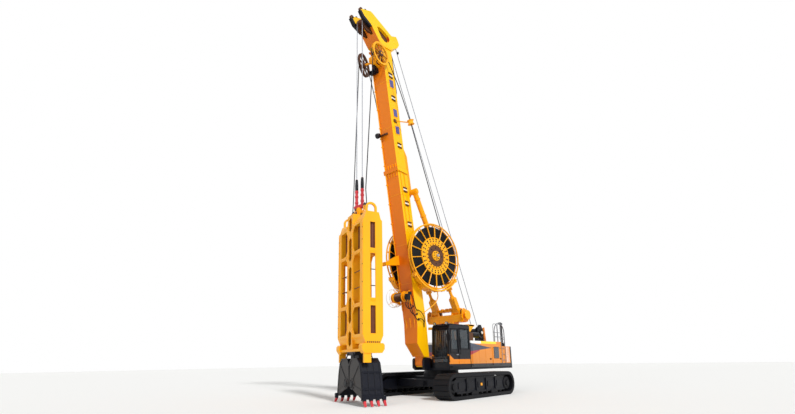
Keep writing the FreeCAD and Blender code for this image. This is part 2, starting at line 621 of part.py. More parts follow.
def guide_wheels():
    """Two spoked hose wheels ahead of the mast's top, on one axle held by an arm."""
    core = piece("guide_arm_core")
    plate(core, "XZ", [(front("(wheel_z - 260)"), "wheel_z - 260"), ("wheel_x + 90", "wheel_z - 110"),
                       ("wheel_x + 90", "wheel_z + 110"), (front("(wheel_z + 260)"), "wheel_z + 260")], 0,
          260)
    arms = [core]
    for label, side in (("left", 1), ("right", -1)):
        yaw = "wheel_yaw_" + label
        spot = ("wheel_x", "%d * wheel_y" % side, "wheel_z")
        stub = piece("guide_axle_" + label)
        disc(stub, "XZ", (0, 0), 50, "%d * (90 - wheel_y / 2)" % side, "wheel_y")
        place(stub, *spot, angle=yaw)
        arms.append(stub)
        wheel = body("guide_wheel_" + label)
        disc(wheel, "XZ", (0, 0), 110, 0, 120)
        spoke = plate(wheel, "XZ",
                      [(-22, 60), (22, 60), (22, "wheel_radius - 60"), (-22, "wheel_radius - 60")], 0, 30)
        around(wheel, spoke, 8)
        ring(wheel, "XZ", (0, 0), "wheel_radius - 40", "wheel_radius - 90", 0, 100)
        for edge in (1, -1):
            ring(wheel, "XZ", (0, 0), "wheel_radius", "wheel_radius - 60", "%d * 40" % edge, 24)
        disc(wheel, "XZ", (0, 0), "50 + running_gap", 0, 300, "Pocket")
        place(wheel, *spot, angle=yaw)
    arm = doc.addObject("Part::MultiFuse", "guide_arm")
    arm.Shapes = arms
    PARTS["guide_arm"] = arm


def hose_reels():
    """Two thin spoked hose reels behind the mast, toed in towards the guide wheels, with hose and guards."""
    core = piece("reel_carrier_core")
    plate(core, "XZ", [("reel_x - 230", "reel_z - 200"), (rear("(reel_z - 420)"), "reel_z - 420"),
                       (rear("(reel_z + 420)"), "reel_z + 420"), ("reel_x - 230", "reel_z + 200")], 0, 560)
    arms = [core]
    guards = []
    for label, side in (("left", 1), ("right", -1)):
        spot = ("reel_x", "%d * reel_y" % side, "reel_z")
        toed = ((0, 0, -side), "reel_toe")
        stub = piece("reel_axle_" + label)
        disc(stub, "XZ", (0, 0), 120, "%d * (85 - reel_y / 2)" % side, "reel_y - 230")
        disc(stub, "XZ", (0, 0), 240, "-%d * (reel_y + reel_width - 180) / 2" % side,
             "reel_y - reel_width - 220")
        place(stub, *spot, *toed)
        arms.append(stub)
        reel = body("hose_reel_" + label)
        disc(reel, "XZ", (0, 0), "reel_hub", 0, "reel_width")
        ring(reel, "XZ", (0, 0), 900, "reel_hub - 10", 0, "reel_width - 120")
        for edge in (1, -1):
            place_y = "%d * (reel_width / 2 - 18)" % edge
            ring(reel, "XZ", (0, 0), 900, 540, place_y, 36)
            ring(reel, "XZ", (0, 0), 910, 800, "%d * (reel_width / 2 - 40)" % edge, 80)
            spoke = plate(reel, "XZ",
                          [(-20, 870), (20, 870), (20, "reel_radius - 20"), (-20, "reel_radius - 20")],
                          place_y, 30)
            around(reel, spoke, 18)
            ring(reel, "XZ", (0, 0), "reel_radius", "reel_radius - 50", place_y, 36)
        disc(reel, "XZ", (0, 0), "120 + running_gap", 0, 2000, "Pocket")
        place(reel, *spot, *toed)
        hose = body("reel_hose_" + label)
        ring(hose, "XZ", (0, 0), 1435, "910 + running_gap", 0, "reel_width - 76")
        place(hose, *spot, *toed)
        shoe = piece("reel_guard_arc_" + label)
        ring(shoe, "XZ", (0, 0), "reel_radius + 110", "reel_radius + 50", 0, "reel_width + 64")
        block(shoe, (-2000, 2000), (-400, 400), (-960, 2000), "Pocket")
        place(shoe, *spot, *toed)
        gusset = piece("reel_guard_gusset_" + label)
        plate(gusset, "XZ",
              [(rear("(reel_z - 900)"), "reel_z - 900"), ("reel_x + 200", "reel_z - reel_radius - 80"),
               ("reel_x + 700", "reel_z - reel_radius + 60")],
              "%d * (mast_half + reel_y - 175) / 2" % side, "reel_y - 175 - mast_half")
        guard = doc.addObject("Part::MultiFuse", "reel_guard_" + label)
        guard.Shapes = [shoe, gusset]
        guards.append(guard)
    carrier = doc.addObject("Part::MultiFuse", "reel_carrier")
    carrier.Shapes = arms
    PARTS["reel_carrier"] = carrier
    joined("reel_guards", guards)


def aux_winch():
    """A small service winch on the mast's lower front."""
    frame = body("aux_winch_frame")
    for edge in (-480, 200):
        plate(frame, "XZ", [(front("(drum_z - 330)"), "drum_z - 330"), ("drum_x + 60", "drum_z - 120"),
                            ("drum_x + 60", "drum_z + 120"), (front("(drum_z + 330)"), "drum_z + 330")],
              edge, 50)
    disc(frame, "XZ", ("drum_x", "drum_z"), 45, -140, 680)
    stay = body("grab_stay")
    for middle in (-370, -230):
        plate(stay, "XZ", [(front(6020), 6020), (3520, 5870), (3520, 6010), (front(6480), 6480)], middle, 40)
    block(stay, (3500, 3560), (-410, -190), (5850, 6030))
    block(stay, (3560, 3610), (-450, -150), (5880, 6000))
    drum = body("aux_drum")
    disc(drum, "XZ", ("drum_x", "drum_z"), 170, -140, 600)
    for edge in (-410, 130):
        disc(drum, "XZ", ("drum_x", "drum_z"), 250, edge, 40)
    disc(drum, "XZ", ("drum_x", "drum_z"), "45 + running_gap", -140, 900, "Pocket")


PIN_GAP = "sqrt((luff_top_x - gantry_x) ^ 2 + (luff_top_z - gantry_pin_z) ^ 2)"
LUFF_ANGLE = "atan2(luff_top_x - gantry_x; luff_top_z - gantry_pin_z)"


def luff_cylinders():
    """Barrel and rod, drawn upright from the top pin and then turned into line with the gantry pin."""
    for label, side in (("left", 1), ("right", -1)):
        barrel = body("luff_barrel_" + label)
        disc(barrel, "XY", (0, 0), "barrel_radius", "-barrel_length / 2", "barrel_length")
        disc(barrel, "XY", (0, 0), "barrel_radius + 25", "-barrel_length + 60", 120)
        disc(barrel, "XZ", (0, 0), "eye_radius", 0, "2 * barrel_radius")
        disc(barrel, "XZ", (0, 0), "70 + running_gap", 0, 400, "Pocket")
        disc(barrel, "XY", (0, 0), "rod_radius + running_gap", "-barrel_length / 2 - 600",
             "barrel_length - 1200",
             "Pocket")
        rod = body("luff_rod_" + label)
        disc(rod, "XY", (0, 0), "rod_radius", "(-1500 - %s + 500) / 2" % PIN_GAP,
             "%s - 500 - 1500" % PIN_GAP)
        plate(rod, "XZ",
              [(-125, "-%s + 60" % PIN_GAP), (125, "-%s + 60" % PIN_GAP), (125, "-%s + 700" % PIN_GAP),
               (80, "-%s + 760" % PIN_GAP), (-80, "-%s + 760" % PIN_GAP),
               (-125, "-%s + 700" % PIN_GAP)],
              0, 300)
        disc(rod, "XZ", (0, "-" + PIN_GAP), "eye_radius - 10", 0, "2 * eye_half")
        for made in (barrel, rod):
            place(made, "luff_top_x", "%d * cylinder_y" % side, "luff_top_z", (0, 1, 0), LUFF_ANGLE)


gantry()
winch()
mast()
mast_head()
guide_wheels()
hose_reels()
aux_winch()
luff_cylinders()

# ---- grab ------------------------------------------------------------------
# The grab's pieces are drawn about its own vertical axis, wide along Y, then turned under the ropes.

ROPE_X = "(sheave_x + sheave_radius - 40 + rope_radius + running_gap)"


def hung(made):
    """Puts a grab piece under the ropes at the grab's yaw."""
    place(made, ROPE_X, 0, 0, (0, 0, -1), "grab_yaw")


def grab_frame():
    """An open plate frame: two box legs, a slotted middle box and cross members, with bows on the ends."""
    made = body("grab_frame")
    deep = "(grab_depth / 2)"
    inside = "(grab_depth / 2 - grab_skin)"
    outline = [("%s - 120" % deep, "grab_low"), (deep, "grab_low + 280"), (deep, "grab_shoulder"),
               ("%s - 55" % deep, "grab_shoulder + 50"), ("%s - 140" % deep, "grab_top")]
    plate(made, "XZ", outline + [("-(%s)" % x, z) for x, z in reversed(outline)], 0, "2 * grab_half")
    block(made, ("-" + deep, deep), ("-core_half", "core_half"), (2090, "grab_top + 180"))
    leg = "(grab_half - leg_width)"
    for side in (1, -1):
        for low, high in ((2620, 3720), (3820, 5860), (5960, 7080)):
            near, far = "%d * core_half" % side, "%d * %s" % (side, leg)
            block(made, ("-" + inside, inside), (near, far) if side > 0 else (far, near), (low, high),
                  "Pocket")
            plate(made, "YZ",
                  [(far, low + 20), ("%s + %d * 160" % (near, side), low + 20), (near, low + 260),
                   (near, high - 260), ("%s + %d * 160" % (near, side), high - 20),
                   (far, high - 20)],
                  0, "2 * grab_depth", "Pocket")
            box = ("%s + grab_skin" % leg, "grab_half - grab_skin")
            if side < 0:
                box = ("grab_skin - grab_half", "-%s - grab_skin" % leg)
            block(made, ("-" + inside, inside), box, (low, high), "Pocket")
        web = "%d * (%s + grab_skin / 2)" % (side, leg)
        plate(made, "XZ", [("120 - " + deep, 4000), (deep + " - 120", 4000), (deep + " - 120", 5760),
                           ("120 - " + deep, 5760)], web, "grab_skin + 10", "Pocket")
        for low, high in ((2640, 3700), (4000, 5760), (5980, 7060)):
            plate(made, "XZ", [(-110, low), (110, low), (110, high), (-110, high)],
                  "%d * (grab_half - grab_skin / 2)" % side, "grab_skin + 10", "Pocket")
        for height in (3770, 5910):
            disc(made, "YZ", ("%d * (core_half + 120)" % side, height), 38, 0, "2 * grab_depth", "Pocket")
        notch = [("%d * core_half" % side, 7330), ("%d * core_half" % side, "grab_top + 200"),
                 ("%d * %s" % (side, leg), "grab_top + 200"), ("%d * %s" % (side, leg), "grab_top - 30")]
        plate(made, "YZ", notch, 0, "2 * grab_depth", "Pocket")
        bow = "%d * (grab_half - 150)" % side
        ring(made, "XZ", (0, "grab_top + 190"), 250, 165, bow, 80)
        for edge in (1, -1):
            plate(made, "XZ", [(edge * 165, "grab_top - 20"), (edge * 250, "grab_top - 20"),
                               (edge * 250, "grab_top + 190"), (edge * 165, "grab_top + 190")], bow, 80)
        plate(made, "XZ",
              [(-165, "grab_top"), (165, "grab_top"), (165, "grab_top + 190"), (-165, "grab_top + 190")],
              bow, 100, "Pocket")
    block(made, ("-" + inside, inside), ("grab_skin - core_half", "core_half - grab_skin"),
          (2000, "grab_top + 140"), "Pocket")
    for low, high in ((2190, 2820), (3090, 4190), (4390, 5450), (5650, 6700), (6940, 7590)):
        plate(made, "YZ", [(-150, low + 110), (0, low), (150, low + 110), (150, high - 110), (0, high),
                           (-150, high - 110)], 0, "2 * grab_depth", "Pocket")
    hung(made)
    ram = body("grab_cylinder")
    disc(ram, "XY", (0, 0), 150, 4300, "2 * (4300 - 2090)")
    disc(ram, "XY", (0, 0), 185, 2240, 300)
    disc(ram, "XY", (0, 0), 185, 6400, 240)
    hung(ram)
    head = body("grab_head")
    block(head, (-150, 150), (-230, 230), ("grab_top + 180", "grab_top + 430"))
    disc(head, "XY", (0, 0), 120, "grab_top + 500 - running_gap / 2", "140 - running_gap")
    hung(head)
    guide = body("grab_guide")
    block(guide, (-380, 380), ("-grab_half + 60", "grab_half - 60"), (1990, 2090))
    for side in (1, -1):
        wing = [("-grab_depth / 2 + 10", "grab_low"), ("-grab_depth / 2 - 50", "grab_low - 70"),
                ("-grab_depth / 2 - 50", 2060), ("-grab_depth / 2 + 50", 1915),
                ("grab_depth / 2 - 50", 1915),
                ("grab_depth / 2 + 50", 2060), ("grab_depth / 2 + 50", "grab_low - 70"),
                ("grab_depth / 2 - 10", "grab_low")]
        plate(guide, "XZ", wing, "%d * (grab_half - 140)" % side, 310)
        block(guide, (80, 370), ("%d * (grab_half - 70) - 50" % side, "%d * (grab_half - 70) + 50" % side),
              (1570, 1920))
    hung(guide)
    neck = body("grab_neck")
    block(neck, (-360, 360), (-420, 420), (1850, 1990))
    block(neck, (-200, 200), ("-jaw_pin_y - 100", "jaw_pin_y + 100"), ("jaw_pin_z - 60", 1860))
    for side in (1, -1):
        disc(neck, "YZ", ("%d * jaw_pin_y" % side, "jaw_pin_z"), "jaw_pin_radius", 0, "2 * jaw_half + 10")
    hung(neck)


def jaw(name, side):
    """One jaw: a hollow shell with two side plates bored for the pin, and its row of teeth."""
    made = body(name)
    edge = "%d * " % side
    outline = [(edge + "20", "jaw_pin_z - 80"), (edge + "60", 1500), (edge + "250", 1740),
               (edge + "800", 1740),
               (edge + "1020", 1560), (edge + "(jaw_reach - 110)", 1150), (edge + "jaw_reach", 450),
               (edge + "jaw_reach", 250)]
    plate(made, "YZ", outline, 0, "2 * jaw_half")
    room = [(edge + "-60", 500), (edge + "-60", 1900), (edge + "560", 1900), (edge + "560", 1690),
            (edge + "780", 1690), (edge + "975", 1530), (edge + "(jaw_reach - 160)", 1140),
            (edge + "(jaw_reach - 50)", 445), (edge + "(jaw_reach - 50)", 100)]
    plate(made, "YZ", room, 0, "2 * (jaw_half - 50)", "Pocket")
    disc(made, "YZ", (edge + "jaw_pin_y", "jaw_pin_z"), "jaw_pin_radius + running_gap", 0, 2000, "Pocket")
    hung(made)
    teeth = []
    for k in range(4):
        centre = "tooth_pitch * %s + %d * tooth_pitch / 4" % (1.5 - k, -side)
        tooth = piece("%s_tooth%d" % (name, k))
        plate(tooth, "YZ", [(edge + "(jaw_reach - 45)", 250), (edge + "(jaw_reach + 5)", 250),
                            (edge + "(jaw_reach + 40)", 200), (edge + "tooth_tip", "tip_z"),
                            (edge + "(tooth_tip - 30)", "tip_z"), (edge + "(jaw_reach - 60)", 160)], centre,
              90)
        hung(tooth)
        teeth.append(tooth)
    joined(name + "_teeth", teeth)


def ropes():
    """Hoist ropes with their swivels and sockets, and the two hoses down from the guide wheels."""
    crosshead = []
    bar = piece("swivel_bar")
    block(bar, (ROPE_X + " - 80", ROPE_X + " + 80"), ("-sheave_y - 90", "sheave_y + 90"),
          ("grab_top + 570", "grab_top + 700"))
    crosshead.append(bar)
    for side in (1, -1):
        swivel = piece("swivel_%d" % (side + 1))
        spot = (ROPE_X, "%d * sheave_y" % side)
        disc(swivel, "XY", spot, "swivel_radius", "(grab_top + 700 + 8950) / 2", "8950 - grab_top - 700")
        disc(swivel, "XY", spot, "swivel_radius - 12", "(8950 + socket_top) / 2", "socket_top - 8950")
        crosshead.append(swivel)
    joined("rope_swivels", crosshead)
    lines = []
    for side in (1, -1):
        rope = piece("rope_%d" % (side + 1))
        disc(rope, "XY", (ROPE_X, "%d * sheave_y" % side), "rope_radius",
             "(socket_top + sheave_z) / 2", "sheave_z - socket_top")
        lines.append(rope)
    joined("hoist_ropes", lines)


grab_frame()
jaw("jaw_near", 1)
jaw("jaw_far", -1)
ropes()

doc.recompute()
failed = [item.Name for item in doc.Objects if "Invalid" in item.State or "Error" in item.State]
if failed:
    raise RuntimeError("failed: " + ", ".join(failed))
os.makedirs("parts", exist_ok=True)
for name, made in PARTS.items():
    made.Label = name
    if made.Shape.isNull() or not made.Shape.isValid():
        raise RuntimeError("bad shape: " + name)
    made.Shape.exportStep("parts/" + name + ".step")
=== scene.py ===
import math

import bmesh
import bpy
from mathutils import Matrix, Vector


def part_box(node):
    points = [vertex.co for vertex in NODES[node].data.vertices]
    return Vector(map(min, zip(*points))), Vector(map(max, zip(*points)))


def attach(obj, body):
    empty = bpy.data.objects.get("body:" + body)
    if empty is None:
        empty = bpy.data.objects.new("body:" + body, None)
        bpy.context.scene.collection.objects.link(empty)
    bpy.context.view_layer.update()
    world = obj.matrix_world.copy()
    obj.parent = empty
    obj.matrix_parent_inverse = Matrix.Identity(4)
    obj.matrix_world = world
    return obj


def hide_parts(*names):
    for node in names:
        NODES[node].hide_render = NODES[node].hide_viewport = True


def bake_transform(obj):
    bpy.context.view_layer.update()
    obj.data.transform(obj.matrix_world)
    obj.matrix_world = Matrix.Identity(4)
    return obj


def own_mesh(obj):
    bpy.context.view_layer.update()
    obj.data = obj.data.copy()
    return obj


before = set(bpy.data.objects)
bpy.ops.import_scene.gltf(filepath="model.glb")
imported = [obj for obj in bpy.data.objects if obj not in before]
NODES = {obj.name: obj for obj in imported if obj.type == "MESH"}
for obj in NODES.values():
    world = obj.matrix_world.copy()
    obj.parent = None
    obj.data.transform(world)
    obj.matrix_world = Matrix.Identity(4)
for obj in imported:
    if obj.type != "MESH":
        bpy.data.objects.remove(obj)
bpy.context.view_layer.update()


# ---------------------------------------------------------------- nodes and colours

def linear(code):
    """An sRGB hex code as linear red, green and blue, fully opaque."""
    parts = [int(code[i:i + 2], 16) / 255 for i in (1, 3, 5)]
    return [c / 12.92 if c <= 0.04045 else ((c + 0.055) / 1.055) ** 2.4 for c in parts] + [1.0]


def add(tree, kind, feeds=None, **settings):
    """A new node with its settings, whose sockets take values or other nodes' sockets."""
    made = tree.nodes.new(kind)
    for name, value in settings.items():
        setattr(made, name, value)
    for socket, value in (feeds or {}).items():
        if isinstance(value, bpy.types.NodeSocket):
            tree.links.new(value, made.inputs[socket])
        else:
            made.inputs[socket].default_value = value
    return made


def per_metre(millimetres):
    """The scale of a texture whose features are that many millimetres apart."""
    return 1000 / millimetres


def new_finish(name):
    """A named material, its tree, its shader and its object coordinates."""
    made = bpy.data.materials.new(name)
    made.use_nodes = True
    tree = made.node_tree
    return made, tree, tree.nodes["Principled BSDF"], add(tree, "ShaderNodeTexCoord").outputs["Object"]


def finish_of(name, light, dark, rough, metal=0.0, patch_mm=700, grain_mm=12, grain_depth_mm=0.4, streak=1.0,
              dirt="#6B5A45", dirt_share=0.12, coat=0.0, rough_spread=0.08, ior=1.5, fore=None):
    """A coated or bare metal: slow colour change, soiling in patches, a fine grain in the bump, and with
    fore a colour painted on faces turned towards +X as painted light and shade.
    """
    made, tree, shader, place = new_finish(name)
    stretched = add(tree, "ShaderNodeMapping",
                    {"Vector": place, "Scale": (1, 1, 1 / streak)}).outputs["Vector"]
    patches = add(tree, "ShaderNodeTexNoise",
                  {"Vector": stretched, "Scale": per_metre(patch_mm), "Detail": 6.0,
                   "Roughness": 0.55})
    tone = add(tree, "ShaderNodeMix", {"Factor": patches.outputs["Fac"], 6: linear(light), 7: linear(dark)},
               data_type="RGBA")
    # Faces turned towards +X in object space take the fore colour: painted light and shade for that side of
    # the object.
    if fore:
        turned_to = add(tree, "ShaderNodeSeparateXYZ",
                        {"Vector": add(tree, "ShaderNodeTexCoord").outputs["Normal"]})
        share = add(tree, "ShaderNodeMapRange",
                    {"Value": turned_to.outputs["X"], "From Min": 0.5, "From Max": 0.8})
        tone = add(tree, "ShaderNodeMix",
                   {"Factor": share.outputs["Result"], 6: tone.outputs[2], 7: linear(fore)},
                   data_type="RGBA")
    spots = add(tree, "ShaderNodeTexNoise",
                {"Vector": stretched, "Scale": per_metre(patch_mm / 6), "Detail": 9.0,
                 "Roughness": 0.7})
    soiled = add(tree, "ShaderNodeMapRange",
                 {"Value": spots.outputs["Fac"], "From Min": 0.56, "From Max": 0.78,
                  "To Min": 0.0, "To Max": dirt_share})
    colour = add(tree, "ShaderNodeMix",
                 {"Factor": soiled.outputs["Result"], 6: tone.outputs[2], 7: linear(dirt)},
                 data_type="RGBA")
    tree.links.new(colour.outputs[2], shader.inputs["Base Color"])
    dulled = add(tree, "ShaderNodeMapRange",
                 {"Value": spots.outputs["Fac"], "From Min": 0.3, "From Max": 0.7,
                  "To Min": rough - rough_spread,
                  "To Max": rough + rough_spread})
    tree.links.new(dulled.outputs["Result"], shader.inputs["Roughness"])
    grain = add(tree, "ShaderNodeTexNoise", {"Vector": place, "Scale": per_metre(grain_mm), "Detail": 3.0})
    bump = add(tree, "ShaderNodeBump", {"Height": grain.outputs["Fac"], "Distance": grain_depth_mm / 1000,
                                        "Strength": 0.6})
    tree.links.new(bump.outputs["Normal"], shader.inputs["Normal"])
    shader.inputs["Metallic"].default_value = metal
    shader.inputs["IOR"].default_value = ior
    shader.inputs["Coat Weight"].default_value = coat
    return made


# What the three gloss enamels share.
GLOSS = {"rough": 0.34, "grain_mm": 15, "coat": 0.1, "dirt": "#A0661C", "dirt_share": 0.3, "ior": 1.3}
# Sprayed alkyd enamel on welded plate: gloss with a faint orange peel, drawn at 15 mm so that it shows.
ENAMEL = finish_of("gloss orange-yellow enamel", "#FFAE06", "#F49A06", streak=3.0, **GLOSS)
# The mast's face turned forward is painted a deeper orange as painted shade.
MAST_ENAMEL = finish_of("gloss mast enamel with a painted-shade front", "#FFC602", "#FBB604", streak=6.0, fore="#E97C10",
                        **GLOSS)
# The head is sprayed the clearest yellow; its faces turned forward are painted red-orange as painted shade.
HEAD_ENAMEL = finish_of("gloss head enamel over red oxide", "#FFCE02", "#FCC004", fore="#DE5A20", **GLOSS)
# The same paint on the guarding and reels, a little paler.
PALE_ENAMEL = finish_of("pale yellow enamel", "#FDB61A", "#F3A310", 0.4, streak=2.0, dirt="#A77C3C",
                        dirt_share=0.25, ior=1.35)
# Satin two-pack paint on cab, chassis and winches: near black with a blue cast and road dust.
BLACK = finish_of("satin black two-pack paint", "#0E1019", "#090A10", 0.42, dirt="#38332E",
                  dirt_share=0.3, ior=1.3)
# Epoxy primer and topcoat on the digging jaws, scuffed by soil; faces turned forward are painted a lighter
# grey-brown as painted light.
NAVY = finish_of("scuffed navy epoxy paint", "#0B0F1E", "#080B14", 0.48, patch_mm=350, grain_mm=9,
                 grain_depth_mm=0.8, dirt="#4A4643", dirt_share=0.4, ior=1.3, fore="#33302F")
# Cast manganese steel of shoes and rollers: sand-cast grain under thin black paint.
CAST = finish_of("black-painted cast manganese steel", "#0C0D13", "#07070B", 0.55, patch_mm=250,
                 grain_mm=8, grain_depth_mm=1.2, dirt="#3C3631", dirt_share=0.35, ior=1.3)
RED = finish_of("gloss red enamel", "#D0202E", "#A81420", 0.35, patch_mm=200, dirt="#5A1512", dirt_share=0.4)
WHITE = finish_of("gloss white enamel", "#F2F2EE", "#E2E2DC", 0.35, dirt="#A89E90", dirt_share=0.2)
GREY = finish_of("grey enamelled tube", "#8B8D92", "#6F7176", 0.4, patch_mm=200, dirt="#4E4A46",
                 dirt_share=0.3)
STEEL = finish_of("turned and oiled steel", "#8C8E92", "#5E6065", 0.3, metal=1.0, patch_mm=120, grain_mm=6,
                  dirt="#3A332C", dirt_share=0.5)
CHROME = finish_of("hard-chromed rod", "#C9CCD0", "#B3B6BA", 0.12, metal=1.0, patch_mm=300,
                   grain_depth_mm=0.05,
                   dirt="#8A8478", dirt_share=0.1, rough_spread=0.04)
RUBBER = finish_of("black nitrile hose rubber", "#05060C", "#030306", 0.6, patch_mm=300, ior=1.3,
                   dirt="#2C2824",
                   dirt_share=0.25)
CLOTH = finish_of("dark woven polyester", "#2A2C33", "#1D1F25", 0.85, patch_mm=80, grain_mm=3,
                  grain_depth_mm=0.8, dirt="#4A4640", dirt_share=0.2)
BROWN = finish_of("primed and oiled cast iron", "#6B3F20", "#3F2413", 0.5, metal=0.3, patch_mm=150,
                  dirt="#1E1510", dirt_share=0.6)


def wire_rope():
    """Greased wire rope: bright crowns and dark valleys of strands laid at about 20 mm."""
    made, tree, shader, place = new_finish("greased steel wire rope")
    lay = add(tree, "ShaderNodeTexWave", {"Vector": place, "Scale": per_metre(40), "Distortion": 0.5},
              bands_direction="DIAGONAL")
    colour = add(tree, "ShaderNodeMix",
                 {"Factor": lay.outputs["Fac"], 6: linear("#83868F"), 7: linear("#A9ADB5")},
                 data_type="RGBA")
    tree.links.new(colour.outputs[2], shader.inputs["Base Color"])
    bump = add(tree, "ShaderNodeBump", {"Height": lay.outputs["Fac"], "Distance": 0.004})
    tree.links.new(bump.outputs["Normal"], shader.inputs["Normal"])
    shader.inputs["Metallic"].default_value = 0.5
    shader.inputs["Roughness"].default_value = 0.45
    return made


def tinted_glass():
    """Laminated cab glass with a grey-green tint and a film of dust."""
    made, tree, shader, place = new_finish("tinted laminated glass")
    dust = add(tree, "ShaderNodeTexNoise", {"Vector": place, "Scale": per_metre(250), "Detail": 8.0})
    haze = add(tree, "ShaderNodeMapRange", {"Value": dust.outputs["Fac"], "From Min": 0.35, "From Max": 0.75,
                                            "To Min": 0.04, "To Max": 0.2})
    tree.links.new(haze.outputs["Result"], shader.inputs["Roughness"])
    tint = add(tree, "ShaderNodeMix",
               {"Factor": dust.outputs["Fac"], 6: linear("#3E4750"), 7: linear("#5B6468")},
               data_type="RGBA")
    tree.links.new(tint.outputs[2], shader.inputs["Base Color"])
    shader.inputs["Alpha"].default_value = 0.42
    shader.inputs["IOR"].default_value = 1.52
    return made


PANE = finish_of("blue polycarbonate inspection pane", "#46489A", "#2F3276", 0.2, coat=0.4)
# Dark red oxide brown, put on the plates inside the grab's slots as painted shade.
SLOT_SHADE_OXIDE = finish_of("red oxide primer as painted shade inside the grab's slots", "#7A3A1C", "#56260F", 0.6, patch_mm=250,
                  dirt="#2E1A10",
                  dirt_share=0.4)
ROPE = wire_rope()
GLASS = tinted_glass()
# The slot that a piece of each finish stands in, where it names no other.
SLOTS = {"yellow_paint": (ENAMEL, MAST_ENAMEL, PALE_ENAMEL), "dark_paint": (BLACK, BROWN, SLOT_SHADE_OXIDE),
         "track_steel": (CAST, STEEL, CHROME), "grey_rail": (WHITE, GREY), "hose_rubber": (RUBBER,),
         "red_paint": (RED,), "jaw_steel": (NAVY,), "window_glass": (PANE,), "wire_rope": (ROPE,)}
SLOT_OF = {finish.name: slot for slot, finishes in SLOTS.items() for finish in finishes}


# ---------------------------------------------------------------- pieces that repeat

def inputs(tree, **kinds):
    """Named inputs of a node tree, with their defaults."""
    tree.interface.new_socket("Geometry", in_out="INPUT", socket_type="NodeSocketGeometry")
    for name, default in kinds.items():
        kind = "NodeSocketInt" if isinstance(default, int) else "NodeSocketFloat"
        tree.interface.new_socket(name, in_out="INPUT", socket_type=kind).default_value = default
    tree.interface.new_socket("Material", in_out="INPUT", socket_type="NodeSocketMaterial")
    tree.interface.new_socket("Geometry", in_out="OUTPUT", socket_type="NodeSocketGeometry")
    return tree.nodes.new("NodeGroupInput").outputs


def close(tree, given, geometry):
    """Realises the instances, sets the material and ends the tree."""
    real = add(tree, "GeometryNodeRealizeInstances", {"Geometry": geometry}).outputs["Geometry"]
    flat = add(tree, "GeometryNodeSetShadeSmooth",
               {"Geometry": real, "Shade Smooth": False}).outputs["Geometry"]
    done = add(tree, "GeometryNodeSetMaterial", {"Geometry": flat, "Material": given["Material"]})
    add(tree, "NodeGroupOutput", {"Geometry": done.outputs["Geometry"]})
    return tree


def facing_way(tree):
    """The rotation that turns local Z to each point's facing and local X to its along direction."""
    facing = add(tree, "GeometryNodeInputNamedAttribute", {"Name": "facing"}, data_type="FLOAT_VECTOR")
    along = add(tree, "GeometryNodeInputNamedAttribute", {"Name": "along"}, data_type="FLOAT_VECTOR")
    return add(tree, "FunctionNodeAxesToRotation", {"Primary Axis": facing.outputs["Attribute"],
                                                    "Secondary Axis": along.outputs["Attribute"]},
               primary_axis="Z", secondary_axis="X").outputs["Rotation"]


def bolt_tree():
    """A hexagon head on a washer at each point."""
    tree = bpy.data.node_groups.new("bolts", "GeometryNodeTree")
    given = inputs(tree, Radius=0.015, Height=0.012)
    head = add(tree, "GeometryNodeMeshCylinder",
               {"Vertices": 6, "Radius": given["Radius"], "Depth": given["Height"]})
    wide = add(tree, "ShaderNodeMath", {0: given["Radius"], 1: 1.45}, operation="MULTIPLY").outputs[0]
    thin = add(tree, "ShaderNodeMath", {0: given["Height"], 1: 0.5}, operation="MULTIPLY").outputs[0]
    washer = add(tree, "GeometryNodeMeshCylinder", {"Vertices": 12, "Radius": wide, "Depth": thin})
    both = add(tree, "GeometryNodeJoinGeometry")
    tree.links.new(head.outputs["Mesh"], both.inputs["Geometry"])
    tree.links.new(washer.outputs["Mesh"], both.inputs["Geometry"])
    spots = add(tree, "GeometryNodeInstanceOnPoints", {"Points": given["Geometry"],
                                                       "Instance": both.outputs["Geometry"],
                                                       "Rotation": facing_way(tree)})
    return close(tree, given, spots.outputs["Instances"])


def bar_tree():
    """A square-edged bar at each point, of the point's own size, with its corners taken off."""
    tree = bpy.data.node_groups.new("bars", "GeometryNodeTree")
    given = inputs(tree, Corner=0.06)
    outline = add(tree, "GeometryNodeCurvePrimitiveQuadrilateral", {"Width": 1.0, "Height": 1.0})
    rounded = add(tree, "GeometryNodeFilletCurve",
                  {"Curve": outline.outputs["Curve"], "Radius": given["Corner"],
                   "Count": 1}, mode="POLY")
    rod = add(tree, "GeometryNodeCurvePrimitiveLine", {"Start": (0, 0, -0.5), "End": (0, 0, 0.5)})
    block = add(tree, "GeometryNodeCurveToMesh", {"Curve": rod.outputs["Curve"],
                                                  "Profile Curve": rounded.outputs["Curve"],
                                                  "Fill Caps": True})
    size = add(tree, "GeometryNodeInputNamedAttribute", {"Name": "size"}, data_type="FLOAT_VECTOR")
    spots = add(tree, "GeometryNodeInstanceOnPoints", {"Points": given["Geometry"],
                                                       "Instance": block.outputs["Mesh"],
                                                       "Rotation": facing_way(tree),
                                                       "Scale": size.outputs["Attribute"]})
    return close(tree, given, spots.outputs["Instances"])


def tube_tree():
    """A round tube along each run of edges, with rounded bends."""
    tree = bpy.data.node_groups.new("tubes", "GeometryNodeTree")
    given = inputs(tree, Radius=0.02, Bend=0.1, Sides=8)
    runs = add(tree, "GeometryNodeMeshToCurve", {"Mesh": given["Geometry"]})
    bent = add(tree, "GeometryNodeFilletCurve", {"Curve": runs.outputs["Curve"], "Radius": given["Bend"],
                                                 "Limit Radius": True, "Count": 5}, mode="POLY")
    circle = add(tree, "GeometryNodeCurvePrimitiveCircle", {"Resolution": given["Sides"],
                                                            "Radius": given["Radius"]})
    skin = add(tree, "GeometryNodeCurveToMesh", {"Curve": bent.outputs["Curve"],
                                                 "Profile Curve": circle.outputs["Curve"],
                                                 "Fill Caps": True})
    return close(tree, given, skin.outputs["Mesh"])


BOLTS, BARS, TUBES = bolt_tree(), bar_tree(), tube_tree()


